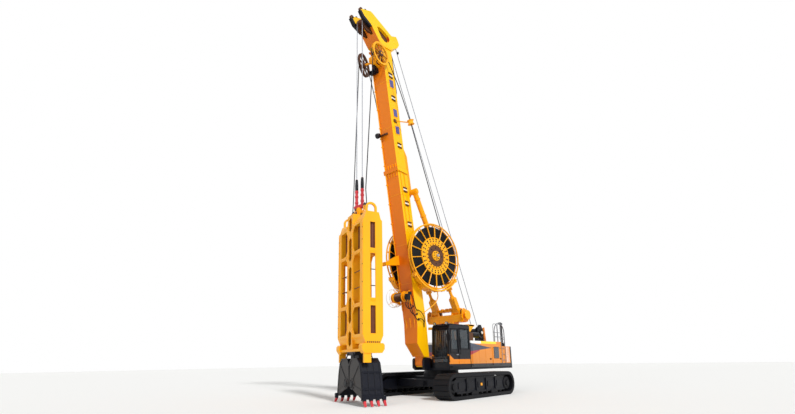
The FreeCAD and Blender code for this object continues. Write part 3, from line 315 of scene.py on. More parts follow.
def placed(name, data):
    """A new object in the scene."""
    obj = bpy.data.objects.new(name, data)
    bpy.context.scene.collection.objects.link(obj)
    return obj


def settle(obj, body, replaced=()):
    """The finished piece rides its body, if it has one yet, and hides the solids it stands in for."""
    if body:
        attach(obj, body)
    if replaced:
        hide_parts(*replaced)
    return obj


def grown(name, mesh, tree, material, body, slot=None, **values):
    """What a tree makes of a mesh of points or edges, as a plain mesh."""
    seed = placed(name + "_seed", mesh)
    grower = seed.modifiers.new("grow", "NODES")
    grower.node_group = tree
    for item in tree.interface.items_tree:
        if item.in_out == "INPUT" and item.name in values:
            grower[item.identifier] = values[item.name]
        if item.in_out == "INPUT" and item.name == "Material":
            grower[item.identifier] = material
    seen = seed.evaluated_get(bpy.context.evaluated_depsgraph_get())
    made = placed(name, bpy.data.meshes.new_from_object(seen))
    bpy.data.objects.remove(seed)
    return settle(made, body)


def points_mesh(name, points, **vectors):
    """Loose points with vector attributes."""
    mesh = bpy.data.meshes.new(name)
    mesh.from_pydata([tuple(p) for p in points], [], [])
    for key, values in vectors.items():
        held = mesh.attributes.new(key, "FLOAT_VECTOR", "POINT")
        for item, value in zip(held.data, values):
            item.vector = value
    return mesh


def bolts(name, spots, body, material=STEEL, slot="track_steel", radius=0.016, height=0.014):
    """Bolt heads: spots are (place, outward direction)."""
    mesh = points_mesh(name, [s[0] for s in spots], facing=[s[1] for s in spots],
                       along=[Vector(s[1]).orthogonal() for s in spots])
    return grown(name, mesh, BOLTS, material, body, slot, Radius=radius, Height=height)


def bars(name, items, body, material, corner=0.06):
    """Bars: items are (middle, size along, size across, size out, along direction, outward direction)."""
    mesh = points_mesh(name, [i[0] for i in items], size=[(i[1], i[2], i[3]) for i in items],
                       along=[i[4] for i in items], facing=[i[5] for i in items])
    return grown(name, mesh, BARS, material, body, Corner=corner)


def tubes(name, runs, radius, body, material, slot=None, bend=0.1, sides=8):
    """Tubes along runs of points."""
    points, edges = [], []
    for run in runs:
        start = len(points)
        points += [tuple(p) for p in run]
        edges += [(i, i + 1) for i in range(start, len(points) - 1)]
    mesh = bpy.data.meshes.new(name)
    mesh.from_pydata(points, edges, [])
    return grown(name, mesh, TUBES, material, body, slot, Radius=radius, Bend=bend, Sides=sides)


# ---------------------------------------------------------------- pieces of one shape

def from_bmesh(name, shape, material, body, replaced=(), edge=0.0):
    """A mesh piece, with its normals turned outwards and its edges softened."""
    bmesh.ops.remove_doubles(shape, verts=shape.verts, dist=1e-5)
    bmesh.ops.recalc_face_normals(shape, faces=shape.faces)
    mesh = bpy.data.meshes.new(name)
    shape.to_mesh(mesh)
    shape.free()
    mesh.materials.append(material)
    made = placed(name, mesh)
    if edge:
        soft = made.modifiers.new("softened edges", "BEVEL")
        soft.width = edge
        soft.segments = 2
        soft.limit_method = "ANGLE"
    return settle(made, body, replaced)


def slab_into(shape, outline, lift):
    """Adds a closed slab: a flat outline swept by a vector."""
    low = [shape.verts.new(p) for p in outline]
    high = [shape.verts.new(Vector(p) + Vector(lift)) for p in outline]
    shape.faces.new(low[::-1])
    shape.faces.new(high)
    for i in range(len(low)):
        j = (i + 1) % len(low)
        shape.faces.new((low[i], low[j], high[j], high[i]))


def slabs(name, items, material, body, edge=0.004):
    """One piece of several slabs: items are (outline, sweep)."""
    shape = bmesh.new()
    for outline, lift in items:
        slab_into(shape, outline, lift)
    return from_bmesh(name, shape, material, body, edge=edge)


def turned_into(shape, profile, centre, axis, steps=48):
    """Adds a turned shape: profile is (distance along, radius), closed on itself if its ends meet."""
    axis = Vector(axis).normalized()
    side = axis.orthogonal().normalized()
    up = axis.cross(side)
    closed = profile[0] == profile[-1]
    rings = []
    for along, radius in profile[:-1] if closed else profile:
        base = Vector(centre) + axis * along
        if radius < 1e-6:
            rings.append([shape.verts.new(base)])
            continue
        turn = [2 * math.pi * k / steps for k in range(steps)]
        spokes = [side * math.cos(t) + up * math.sin(t) for t in turn]
        rings.append([shape.verts.new(base + spoke * radius) for spoke in spokes])
    pairs = list(zip(rings, rings[1:])) + ([(rings[-1], rings[0])] if closed else [])
    for a, b in pairs:
        for k in range(steps):
            m = (k + 1) % steps
            corners = list(dict.fromkeys((a[k % len(a)], a[m % len(a)], b[m % len(b)], b[k % len(b)])))
            if len(corners) > 2:
                shape.faces.new(corners)


def turned(name, parts, material, body, replaced=(), edge=0.0, steps=48):
    """One piece of several turned shapes: parts are (profile, centre, axis)."""
    shape = bmesh.new()
    for profile, centre, axis in parts:
        turned_into(shape, profile, centre, axis, steps)
    return from_bmesh(name, shape, material, body, replaced, edge)


X, Y, Z = Vector((1, 0, 0)), Vector((0, 1, 0)), Vector((0, 0, 1))
SIDES = ((1, "left"), (-1, "right"))


def at_y(centre, y):
    """The place at Y on an axis through the centre."""
    return (centre[0], y, centre[2])


def around_y(centre, radius, turn, y):
    """A place on a circle about an axis along Y."""
    angle = math.radians(turn)
    return Vector((centre[0] + radius * math.cos(angle), y, centre[2] + radius * math.sin(angle)))


def hoop(radius, thick):
    """The closed outline of a round bar bent to a ring."""
    outline = [(thick * math.sin(math.radians(a)), radius + thick * math.cos(math.radians(a)))
               for a in range(0, 360, 60)]
    return outline + outline[:1]


# ---------------------------------------------------------------- finishes of the carried-over solids

def paint(material, *nodes):
    """Gives solids their finish."""
    for node in nodes:
        for held in NODES[node].material_slots:
            held.material = material


paint(MAST_ENAMEL, "mast_lower", "mast_upper")
paint(HEAD_ENAMEL, "mast_head")
paint(ENAMEL, "luff_bracket", "guide_arm", "reel_carrier", "gantry", "aux_winch_frame",
      "grab_stay", "grab_head", "luff_barrel_left", "luff_barrel_right", "luff_rod_left",
      "luff_rod_right", "rear_sheaves", "aux_drum")
# The jaw cylinder inside the grab's hollow column and the far guide wheel are painted brown as painted
# shade; the near guide wheel keeps the pale paint.
paint(BROWN, "grab_cylinder", "front_sheaves", "guide_wheel_right")
paint(PALE_ENAMEL, "grab_frame", "grab_guide", "reel_guards", "hose_reel_left", "hose_reel_right",
      "guide_wheel_left")
paint(BLACK, "carbody", "slewing_ring", "turntable", "winch_frame", "exhaust_stack",
      "counterweight", "track_frame_left", "track_frame_right", "engine", "winch_drum", "grab_neck")
paint(CAST, "track_left", "track_right", "track_wheels_left", "track_wheels_right", "towing_eyes")
paint(NAVY, "jaw_near", "jaw_far")
paint(RED, "jaw_near_teeth", "jaw_far_teeth", "rope_swivels")
paint(GREY, "handrails")
paint(RUBBER, "reel_hose_left", "reel_hose_right")
paint(GLASS, "cab_glass", "door_glass")
paint(CLOTH, "cab_seat")
paint(ROPE, "hoist_ropes")


# ---------------------------------------------------------------- mast and head

# The mast leans by its slope above the kink: LONG runs up it, and OUT stands off its front face.
SLOPE = 0.155
LONG = Vector((SLOPE, 0, 1)).normalized()
OUT = Vector((1, 0, -SLOPE)).normalized()
KINK_X, KINK_Z = 2.18, 3.24
HALF, DEPTH = 0.4, 0.668
# The pins of the head's sheaves, the ropes' distance off the middle, and the radii of ropes and hoses.
FRONT_PIN, REAR_PIN = (4.96, 0, 17.6), (3.32, 0, 17.54)
ROPE_Y, ROPE_R, HOSE_R = 0.18, 0.018, 0.021
ROPE_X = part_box("rope_swivels")[0][0] / 2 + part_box("rope_swivels")[1][0] / 2


def front(height, off=0.0):
    """X of the mast's front face at a height, plus a distance off it."""
    return KINK_X + SLOPE * (height - KINK_Z) + off


def rear(height, off=0.0):
    """X of the mast's rear face at a height, less a distance off it."""
    return front(height) - DEPTH - off


def side_bars(name, heights, back, length, width, proud, material, tilt=LONG):
    """Bars on the mast's side faces, a distance back from the front face."""
    items = []
    for side in (1, -1):
        for height in heights:
            middle = Vector((front(height) - back, side * (HALF + proud / 2), height))
            items.append((middle, length, width, proud, tilt, Y * side))
    return bars(name, items, "mast", material)


def mast_details():
    """Joint flange, access covers, foot rungs, conduit, lamp and hose guide."""
    joint = 10.5
    items = []
    for lift in (-0.035, 0.035):
        height = joint + lift
        items.append(((front(height, 0.02), 0, height), 0.9, 0.05, 0.06, Y, OUT))
        items.append(((rear(height, 0.02), 0, height), 0.9, 0.05, 0.06, Y, -OUT))
        for side in (1, -1):
            items.append(((front(height) - DEPTH / 2, side * 0.42, height), 0.72, 0.05, 0.05, OUT, Y * side))
    for k in range(5):
        for lift in (0.16, -0.19):
            at = joint + lift
            items.append(((front(at, 0.016), -0.32 + 0.16 * k, at), 0.26, 0.022, 0.036, LONG, OUT))
    bars("mast_joint_flange", items, "mast", ENAMEL)
    spots, rows = [], (-0.075, 0.075)
    for k in range(8):
        across = -0.36 + 0.103 * k
        for lift in rows:
            spots.append(((front(joint + lift, 0.045), across, joint + lift), OUT))
    for side in (1, -1):
        for k in range(5):
            for lift in rows:
                spots.append(((front(joint + lift) - 0.08 - 0.13 * k, side * 0.447, joint + lift), Y * side))
    bolts("mast_joint_bolts", spots, "mast", BROWN, radius=0.022, height=0.02)
    # Access windows: a dark opening behind a bolted pale rim.
    covers, back = (14.89, 13.39, 12.52), 0.36
    side_bars("mast_window_rims", covers, back, 0.46, 0.32, 0.012, PALE_ENAMEL)
    side_bars("mast_windows", covers, back, 0.38, 0.25, 0.022, PANE)
    # Foot rungs in pairs, each a red-brown bar over a white tread strip.
    rungs = (15.32, 14.14, 11.75, 9.57, 8.9, 7.9)
    side_bars("mast_foot_rungs", [h + d for h in rungs for d in (-0.09, 0.09)], back, 0.26, 0.05, 0.05,
              BROWN, tilt=X)
    side_bars("mast_foot_treads", rungs, back, 0.24, 0.07, 0.02, WHITE, tilt=X)
    # A pressed rail runs down each side from the joint, with a second one behind it.
    runs = []
    for side in (1, -1):
        for behind in (0.16, 0.42):
            runs.append([(front(h) - behind, side * (HALF + 0.014), h) for h in (10.4, 7.9)])
    tubes("mast_side_rails", runs, 0.02, "mast", ENAMEL, sides=6)
    # Conduit up the far front edge, on saddles, and a hose pair up the rear face.
    conduit_y = -0.36
    tubes("mast_conduit", [[(front(h, 0.035), conduit_y, h) for h in (3.9, 16.3)]], 0.024, "mast", ENAMEL)
    saddles = [((front(h, 0.03), conduit_y, h), 0.05, 0.09, 0.07, LONG, OUT)
               for h in [4.2 + 0.95 * k for k in range(13)]]
    bars("mast_conduit_saddles", saddles, "mast", ENAMEL)
    edge_hose = [(rear(h, 0.03), 0.36, h) for h in (16.5, 14.6)]
    tubes("mast_edge_hose", [edge_hose + [(rear(14.3), 0.3, 14.3)]], 0.035, "mast", RUBBER, bend=0.2)
    rear_hoses = [[(rear(h, 0.04), y, h) for h in (4.3, 16.4)] for y in (-0.2, -0.13, 0.13, 0.2)]
    tubes("mast_rear_hoses", rear_hoses, 0.02, "mast", RUBBER)
    clamps = [((rear(h, 0.035), y, h), 0.06, 0.2, 0.08, LONG, -OUT)
              for h in [4.6 + 1.3 * k for k in range(9)] for y in (-0.165, 0.165)]
    bars("mast_hose_clamps", clamps, "mast", BROWN)
    # Weld seams where the box plates change thickness.
    seams = []
    for height in (5.1, 6.9, 9.3, 12.6, 14.9):
        seams.append(((front(height, 0.001), 0, height), 0.79, 0.016, 0.008, Y, OUT))
        for side in (1, -1):
            seams.append(((front(height) - DEPTH / 2, side * 0.401, height), 0.65, 0.016, 0.008, OUT,
                          Y * side))
    bars("mast_weld_seams", seams, "mast", ENAMEL, corner=0.3)
    # Work lamp on a bracket across the front face.
    turned("mast_work_lamp", [([(0, 0), (0, 0.05), (0.06, 0.11), (0.2, 0.13), (0.24, 0.12), (0.24, 0)],
                               (front(12.3, 0.14), -0.3, 12.36), (0.9, -0.25, -0.55))],
           BLACK, "mast", edge=0.004, steps=24)
    bars("mast_lamp_bracket", [((front(12.34, 0.06), -0.2, 12.34), 0.34, 0.05, 0.12, Y, OUT),
                               ((front(12.34, 0.03), 0.02, 12.34), 0.14, 0.09, 0.06, Y, OUT)], "mast", BROWN)
    # Hose guide: a rod out to the reels' hose line with a trumpet eye, on both sides.
    for side, label in SIDES:
        root = (3.4, side * 0.42, 12.95)
        tip = (2.98, side * 0.86, 12.87)
        tubes("hose_guide_rod_" + label, [[root, tip]], 0.028, "mast", ENAMEL)
        turned("hose_guide_eye_" + label,
               [([(-0.11, 0.15), (-0.05, 0.1), (0.05, 0.1), (0.11, 0.15), (0.1, 0.17),
                  (0.04, 0.13), (-0.04, 0.13), (-0.1, 0.17), (-0.11, 0.15)],
                 (2.9, side * 0.96, 12.86), (0.28, 0, 1))],
               PALE_ENAMEL, "mast", steps=24)
        bars("hose_guide_foot_" + label, [((3.42, side * 0.425, 12.95), 0.2, 0.14, 0.05, X, Y * side)],
             "mast", BROWN)
    # Braces over the kinked foot.
    bars("mast_foot_braces", [((front(KINK_Z + 0.02, 0.01), y, 3.3), 0.5, 0.03, 0.04, LONG, OUT) for y in
                              (-0.25, 0, 0.25)], "mast", ENAMEL)


def head_details():
    """Pin caps, fork liners, tip rollers, recess floors painted brown as shade, and lugs on the mast head.
    """
    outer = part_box("mast_head")[1][1]
    caps, shade_floors, liners, rollers, lugs = [], [], [], [], []
    recess = [(4560, 17590), (4440, 17385), (4275, 17185), (4075, 17085), (3905, 17115), (3760, 17250),
              (3725, 17380),
              (3805, 17505), (4105, 17620), (4400, 17660)]
    for side in (1, -1):
        for centre, radius in ((FRONT_PIN, 0.14), (REAR_PIN, 0.12)):
            caps.append(([(-0.03, 0), (-0.03, radius), (-0.006, radius), (-0.006, 0)],
                         at_y(centre, side * outer),
                         (0, side, 0)))
        shade_floors.append(([(x / 1000, side * (outer - 0.134), z / 1000) for x, z in recess],
                       (0, side * 0.004, 0)))
        y = side * 0.325
        edge = [(5.72, 17.8), (5.5, 17.52), (5.0, 17.36), (4.9, 17.42), (5.02, 17.5), (5.42, 17.68),
                (5.6, 17.86)]
        liners.append(([(x, y - 0.077, z) for x, z in edge], (0, 0.154, 0)))
        rollers.append(([(-0.07, 0), (-0.07, 0.085), (-0.05, 0.1), (0.05, 0.1), (0.07, 0.085), (0.07, 0)],
                        (5.6, y, 17.93), (0, 1, 0)))
        for x, z in ((5.3, 18.1), (5.08, 18.14), (3.02, 17.05)):
            lugs.append(((x, side * 0.32, z), 0.1, 0.1, 0.08, X, Z))
    turned("head_pin_caps", caps, BROWN, "mast", edge=0.004, steps=28)
    # The recess floors are painted brown as painted shade in the head's side recesses.
    slabs("head_recess_shade_floors", shade_floors, BROWN, "mast")
    slabs("head_fork_liners", liners, BLACK, "mast", edge=0.01)
    turned("head_tip_rollers", rollers, BROWN, "mast", edge=0.004, steps=24)
    bars("head_lugs", lugs, "mast", BLACK, corner=0.2)
    side_bars("head_collar", (16.78,), 0.33, 0.78, 0.1, 0.05, MAST_ENAMEL, tilt=OUT)
    # Gear housing and dark cable plate on the front, beside the guide wheels.
    plate_z, housing_z, roller_z = 16.1, 15.97, 15.5
    bars("head_cable_plate", [((front(plate_z, 0.14), -0.05, plate_z), 1.25, 0.1, 0.28, LONG, OUT)], "mast",
         BLACK,
         corner=0.05)
    turned("head_swivel_housing", [([(0, 0), (0, 0.17), (0.1, 0.19), (0.2, 0.19), (0.24, 0.12), (0.24, 0)],
                                    (front(housing_z, 0.02), 0.18, housing_z), (1, 0, 0))], BROWN, "mast",
           edge=0.006, steps=28)
    small = [([(-0.03, 0), (-0.03, 0.13), (-0.015, 0.1), (0.015, 0.1), (0.03, 0.13), (0.03, 0)],
              (front(roller_z, 0.22), y, roller_z), (0.2, 1, 0)) for y in (-0.12, -0.3)]
    turned("head_hose_rollers", small, BLACK, "mast", edge=0.004, steps=24)
    bars("head_roller_bracket", [((front(roller_z, 0.1), -0.21, roller_z), 0.26, 0.05, 0.26, Y, OUT)],
         "mast", BROWN)


mast_details()
head_details()


# ---------------------------------------------------------------- hose reels

REEL = Vector((1.35, 0, 6.46))
REEL_Y, REEL_R, REEL_FACE, TOE = 0.89, 1.59, 0.085, math.radians(7)
YAWED = math.radians(18.5)
ACROSS = Vector((math.cos(YAWED), -math.sin(YAWED), 0))
ALONG = Vector((math.sin(YAWED), math.cos(YAWED), 0))


def on_grab(out, along, height):
    """A place on the grab: out of its wide face, along its width, and up."""
    return Vector((ROPE_X, 0, height)) + ACROSS * out + ALONG * along


def on_reel(radius, turn, side, off=0.0):
    """A place on a toed-in reel, off metres outwards of its middle, with the outward way and its axis."""
    ahead = Vector((math.cos(TOE), -side * math.sin(TOE), 0))
    axis = Vector((math.sin(TOE), side * math.cos(TOE), 0))
    out = ahead * math.cos(math.radians(turn)) + Z * math.sin(math.radians(turn))
    return REEL + Y * side * REEL_Y + out * radius + axis * off, out, axis


def reel_details(label, side):
    """Wound hose, slotted flanges, dished hub and rim tubes of one reel."""
    body = "hose_reel_" + label
    rings = []
    faces, spokes = ((REEL_FACE, 1), (-REEL_FACE, -1)), range(10, 370, 20)
    for off, _ in faces:
        for radius, thick in ((1.565, 0.03), (0.885, 0.02), (0.63, 0.018)):
            centre, _, axis = on_reel(0, 0, side, off)
            rings.append((hoop(radius, thick), centre, axis))
    turned("reel_rim_tubes_" + label, rings, PALE_ENAMEL, body, steps=72)
    slots = []
    for off, facing in faces:
        for radius, length, width in ((0.815, 0.085, 0.075), (0.715, 0.085, 0.06)):
            for k in range(24):
                spot, out, axis = on_reel(radius, 15 * k + 5, side, off)
                slots.append((spot, length, width, 0.012, axis.cross(out), axis * facing))
    bars("reel_flange_slots_" + label, slots, body, BLACK, corner=0.3)
    tubes("reel_spoke_tubes_" + label,
          [[on_reel(0.9, turn, side, off)[0], on_reel(1.56, turn, side, off)[0]]
           for turn in spokes for off, _ in faces], 0.019, body, PALE_ENAMEL, sides=6)
    centre, _, axis = on_reel(0, 0, side, REEL_FACE)
    dish = [([(0.001, 0.24), (0.008, 0.26), (0.012, 0.5), (0.001, 0.53), (0, 0.53), (0, 0.24),
              (0.001, 0.24)],
             centre, axis)]
    turned("reel_hub_dish_" + label, dish, BROWN, body, steps=48)
    cap = [([(0, 0.235), (0.05, 0.235), (0.06, 0.225), (0.06, 0.1), (0.085, 0.09), (0.085, 0)], centre,
            axis),
           ([(0, 0.53), (0.025, 0.53), (0.025, 0.6), (0, 0.6), (0, 0.53)], centre, axis)]
    turned("reel_hub_cap_" + label, cap, PALE_ENAMEL, body, steps=48)
    swivel = [([(0.085, 0.0), (0.085, 0.07), (0.15, 0.07), (0.16, 0.05), (0.2, 0.05), (0.2, 0)], centre,
               axis)]
    turned("reel_swivel_" + label, swivel, CHROME, body, steps=24)
    spots = []
    for radius, count, lift in ((0.17, 8, 0.066), (0.38, 8, 0.012), (0.565, 20, 0.025)):
        for k in range(count):
            spot, _, axis = on_reel(radius, 360 / count * k, side, REEL_FACE + lift)
            spots.append((spot, axis))
    bolts("reel_hub_bolts_" + label, spots, body, BLACK, "dark_paint", radius=0.022, height=0.02)
    # The wound hose: a spiral two hoses wide, each turn a rounded bead.
    low, high, turn_size, half = 0.915, 1.43, 0.047, 0.045
    profile = []
    layers = int((high - low) / turn_size)
    for k in range(layers):
        base = low + k * turn_size
        profile += [(half - 0.014, base), (half - 0.003, base + turn_size * 0.25),
                    (half, base + turn_size * 0.5),
                    (half - 0.003, base + turn_size * 0.75)]
    profile += [(half - 0.014, high), (half / 2, high + 0.004), (0, high - 0.012), (-half / 2, high + 0.004)]
    for k in range(layers):
        base = high - k * turn_size
        profile += [(-half + 0.014, base), (-half, base - turn_size * 0.5)]
    profile += [(-half + 0.014, low), profile[0]]
    middle, _, axis = on_reel(0, 0, side)
    turned("reel_wound_hose_" + label, [(profile, middle, axis)], RUBBER, body,
           replaced=("reel_hose_" + label,), steps=72)
    # Cross ties over the hose between the two faces, near the rim.
    ties = []
    for turn in spokes:
        spot, out, axis = on_reel(1.52, turn, side)
        ties.append((spot, 0.2, 0.03, 0.03, axis, out))
    bars("reel_cross_ties_" + label, ties, body, PALE_ENAMEL)


def reel_fittings():
    """Guard ribs and the supply lines to the reels."""
    ribs, spots = [], []
    for side in (1, -1):
        for turn in range(222, 322, 16):
            spot, out, axis = on_reel(REEL_R + 0.115, turn, side)
            ribs.append((spot, 0.04, 0.24, 0.03, axis.cross(out), out))
            for across in (-0.09, 0.09):
                spots.append((on_reel(REEL_R + 0.128, turn, side, across)[0], out))
    bars("reel_guard_ribs", ribs, "mast", PALE_ENAMEL)
    bolts("reel_guard_bolts", spots, "mast", BROWN, radius=0.018, height=0.02)
    ends = []
    for side in (1, -1):
        for turn in (218.5, 321.5):
            spot, out, axis = on_reel(REEL_R + 0.1, turn, side)
            ends.append((spot, 0.1, 0.2, 0.16, axis.cross(out), out))
    bars("reel_guard_ends", ends, "mast", PALE_ENAMEL)
    runs = []
    for y in (0.62, -0.62):
        runs.append([(1.05, y * 1.2, 4.86), (0.96, y * 1.15, 4.6), (0.98, y, 4.34), (1.23, y * 0.95, 4.14),
                     (1.57, y * 0.8, 3.9), (1.8, y * 0.66, 3.74)])
    tubes("reel_supply_hoses", runs, 0.022, "mast", PALE_ENAMEL, slot="hose_rubber", bend=0.3)


for side, label in SIDES:
    reel_details(label, side)
reel_fittings()


# ---------------------------------------------------------------- guide wheels and rigging

WHEEL = Vector((4.55, 0, 15.97))
WHEEL_Y, WHEEL_R, HUB = 0.58, 0.56, 0.085
YAW = {1: math.radians(4), -1: math.radians(20)}


def on_wheel(radius, turn, side):
    """A place on a guide wheel, which stands yawed, with the outward way there and the axis."""
    ahead = Vector((math.cos(YAW[side]), math.sin(YAW[side]), 0))
    axis = Vector((-math.sin(YAW[side]), math.cos(YAW[side]), 0))
    out = ahead * math.cos(math.radians(turn)) + Z * math.sin(math.radians(turn))
    return WHEEL + Y * side * WHEEL_Y + out * radius, out, axis


def guide_wheel_details(label, side):
    """Hub cap, rim ties and spoke webs of one guide wheel."""
    body = "guide_wheel_" + label
    middle, _, axis = on_wheel(0, 0, side)
    cap = [([(-HUB, 0), (-HUB, 0.12), (-0.06, 0.14), (0.06, 0.14), (HUB, 0.12), (HUB, 0)], middle,
            axis)]
    turned("guide_wheel_hub_" + label, cap, BROWN, body, steps=24)
    ties, webs = [], []
    for k in range(16):
        spot, out, _ = on_wheel(WHEEL_R - 0.035, 22.5 * k, side)
        ties.append((spot, 0.04, 0.1, 0.03, axis.cross(out), out))
    for k in range(8):
        spot, out, _ = on_wheel(0.28, 45 * k, side)
        webs.append((spot, 0.38, 0.012, 0.07, out, axis))
    bars("guide_wheel_ties_" + label, ties, body, BROWN)
    bars("guide_wheel_webs_" + label, webs, body, BROWN)


def hose_runs():
    """Hoses from the reels over the guide wheels, and down to the grab."""
    for side, label in SIDES:
        over = [on_wheel(WHEEL_R - 0.045, turn, side)[0] for turn in range(176, -1, -16)]
        up = [on_reel(1.45, 112, side)[0], Vector((1.7, side * 0.94, 10.0)),
              Vector((2.9, side * 0.95, 12.86)),
              Vector((3.55, side * 0.8, 14.6))]
        last = over[-1] - Z * 0.2
        tubes("supply_hose_" + label, [up + over + [last]], HOSE_R, "mast", RUBBER, bend=0.6)
        low = on_grab(0, side * 0.66, 8.72)
        drop = tubes("grab_hose_" + label, [[last, last.lerp(low, 0.5), low]], HOSE_R, "rope_carrier",
                     RUBBER)
        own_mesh(drop)
        # The last stretch reaches the pulley on the frame's top.
        foot = on_grab(0, side * 0.76, 7.99)
        steps = [low.lerp(foot, k / 8) for k in range(9)]
        tail = tubes("grab_hose_tail_" + label, [steps], HOSE_R, None, RUBBER)
        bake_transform(tail)


def hoist_rope_runs():
    """Ropes over the head and down to the winch, and the falls to the swivels."""
    over, down, falls = [], [], []
    for y in (ROPE_Y, -ROPE_Y):
        crown = [around_y(FRONT_PIN, 0.398, turn, y) for turn in range(0, 116, 12)]
        crown += [around_y(REAR_PIN, 0.208, turn, y) for turn in (112, 130, 150)]
        over.append(crown)
        top, foot = Vector((3.13, y, 17.63)), Vector((-3.27, y, 3.18))
        down.append([foot.lerp(top, k / 16) for k in range(17)])
        falls.append([(ROPE_X, y, 9.4), (ROPE_X, y, 13.5), (ROPE_X, y, 17.6)])
    tubes("head_ropes", over, ROPE_R, "mast", ROPE, bend=0.05)
    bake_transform(tubes("winch_ropes", down, ROPE_R, None, ROPE))
    drop = tubes("falling_ropes", falls, ROPE_R, "rope_carrier", ROPE)
    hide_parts("hoist_ropes")
    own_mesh(drop)


for side, label in SIDES:
    guide_wheel_details(label, side)
hose_runs()
hoist_rope_runs()


def hook_and_sockets():
    """Red collars round the swivels, and dark rope sockets above them."""
    sockets, collars = [], []
    for side in (1, -1):
        spot = (ROPE_X, side * ROPE_Y, 0)
        sockets.append(([(8.93, 0), (8.93, 0.066), (8.98, 0.072), (9.18, 0.072), (9.44, 0.056),
                         (9.455, 0.03), (9.455, 0)],
                        spot, (0, 0, 1)))
        for low in (8.05, 8.32, 8.6, 8.82):
            collars.append(([(low, 0.03), (low, 0.078), (low + 0.09, 0.078), (low + 0.09, 0.03)], spot,
                            (0, 0, 1)))
    turned("rope_sockets", sockets, BLACK, "hoist_carriage", edge=0.004, steps=24)
    turned("swivel_collars", collars, RED, "hoist_carriage", edge=0.006, steps=24)


hook_and_sockets()


# ---------------------------------------------------------------- livery of the upper works

def over_line(tree, across, height, level, slope, above):
    """1 where a point lies above (or below) the line height = level + slope times across."""
    line = add(tree, "ShaderNodeMath", {0: across, 1: slope, 2: level}, operation="MULTIPLY_ADD").outputs[0]
    test = "GREATER_THAN" if above else "LESS_THAN"
    return add(tree, "ShaderNodeMath", {0: height, 1: line}, operation=test).outputs[0]


def stripe(made, code, *edges):
    """Masks a painted stripe: each edge is (level, slope, above), or with no slope a limit along X."""
    tree = made.node_tree
    shader = tree.nodes["Principled BSDF"]
    place = add(tree, "ShaderNodeSeparateXYZ", {"Vector": add(tree, "ShaderNodeTexCoord").outputs["Object"]})
    mask = None
    for level, slope, above in edges:
        if slope is None:
            part = over_line(tree, place.outputs["Z"], place.outputs["X"], level, 0.0, above)
        else:
            part = over_line(tree, place.outputs["X"], place.outputs["Z"], level, slope, above)
        mask = part if mask is None else add(tree, "ShaderNodeMath", {0: mask, 1: part},
                                             operation="MULTIPLY").outputs[0]
    under = shader.inputs["Base Color"].links[0].from_socket
    mixed = add(tree, "ShaderNodeMix", {"Factor": mask, 6: under, 7: linear(code)}, data_type="RGBA")
    tree.links.new(mixed.outputs[2], shader.inputs["Base Color"])


# Bodywork of the upper works: orange enamel with masked bands, the sill dipped in black.
HOUSE = finish_of("orange bodywork enamel with masked bands", "#E98E10", "#DB800E", 0.33, coat=0.3,
                  streak=2.0,
                  dirt="#8A5A20", dirt_share=0.3)
SLOT_OF[HOUSE.name] = "yellow_paint"
# The line under the blue band and over the red one, where the top band changes colour, and the dipped sill.
MEETING, CHANGE, SILL = (1.987, -0.094), -1.3, ("#0B0C12", (1.45, 0.0, False))
stripe(HOUSE, "#F1F1EE", (2.39, 0.0, True), (CHANGE, None, True))
stripe(HOUSE, "#FFDD1E", (2.4, 0.0, True), (CHANGE, None, False), (-2.75, None, True))
stripe(HOUSE, "#3C4052", (2.46, 0.116, False), (*MEETING, True), (-2.3, None, True))
stripe(HOUSE, "#A8343C", (*MEETING, False), (1.751, -0.27, True), (-1.15, None, True))
stripe(HOUSE, *SILL)
CAB = finish_of("satin black cab enamel over an orange sill", "#0D0F19", "#08090F", 0.32, coat=0.15,
                dirt="#38332E",
                dirt_share=0.25, ior=1.3)
for level, slope in ((1.66, 0.0), (1.03, 0.636)):
    stripe(CAB, "#F08C16", (level, slope, False), (1.335, None, False), (-0.34, None, True))
stripe(CAB, *SILL)
paint(HOUSE, "engine_house", "front_door_left", "front_door_right", "rear_door_left", "rear_door_right")
paint(CAB, "cab_shell", "cab_door")


# ---------------------------------------------------------------- cab

RAKE = 0.045
RAKED = Vector((-RAKE, 0, 1))


def windscreen(height, off=0.0):
    """X of the raked windscreen at a height, plus a distance off it."""
    return 1.345 + off - RAKE * (height - 1.7)


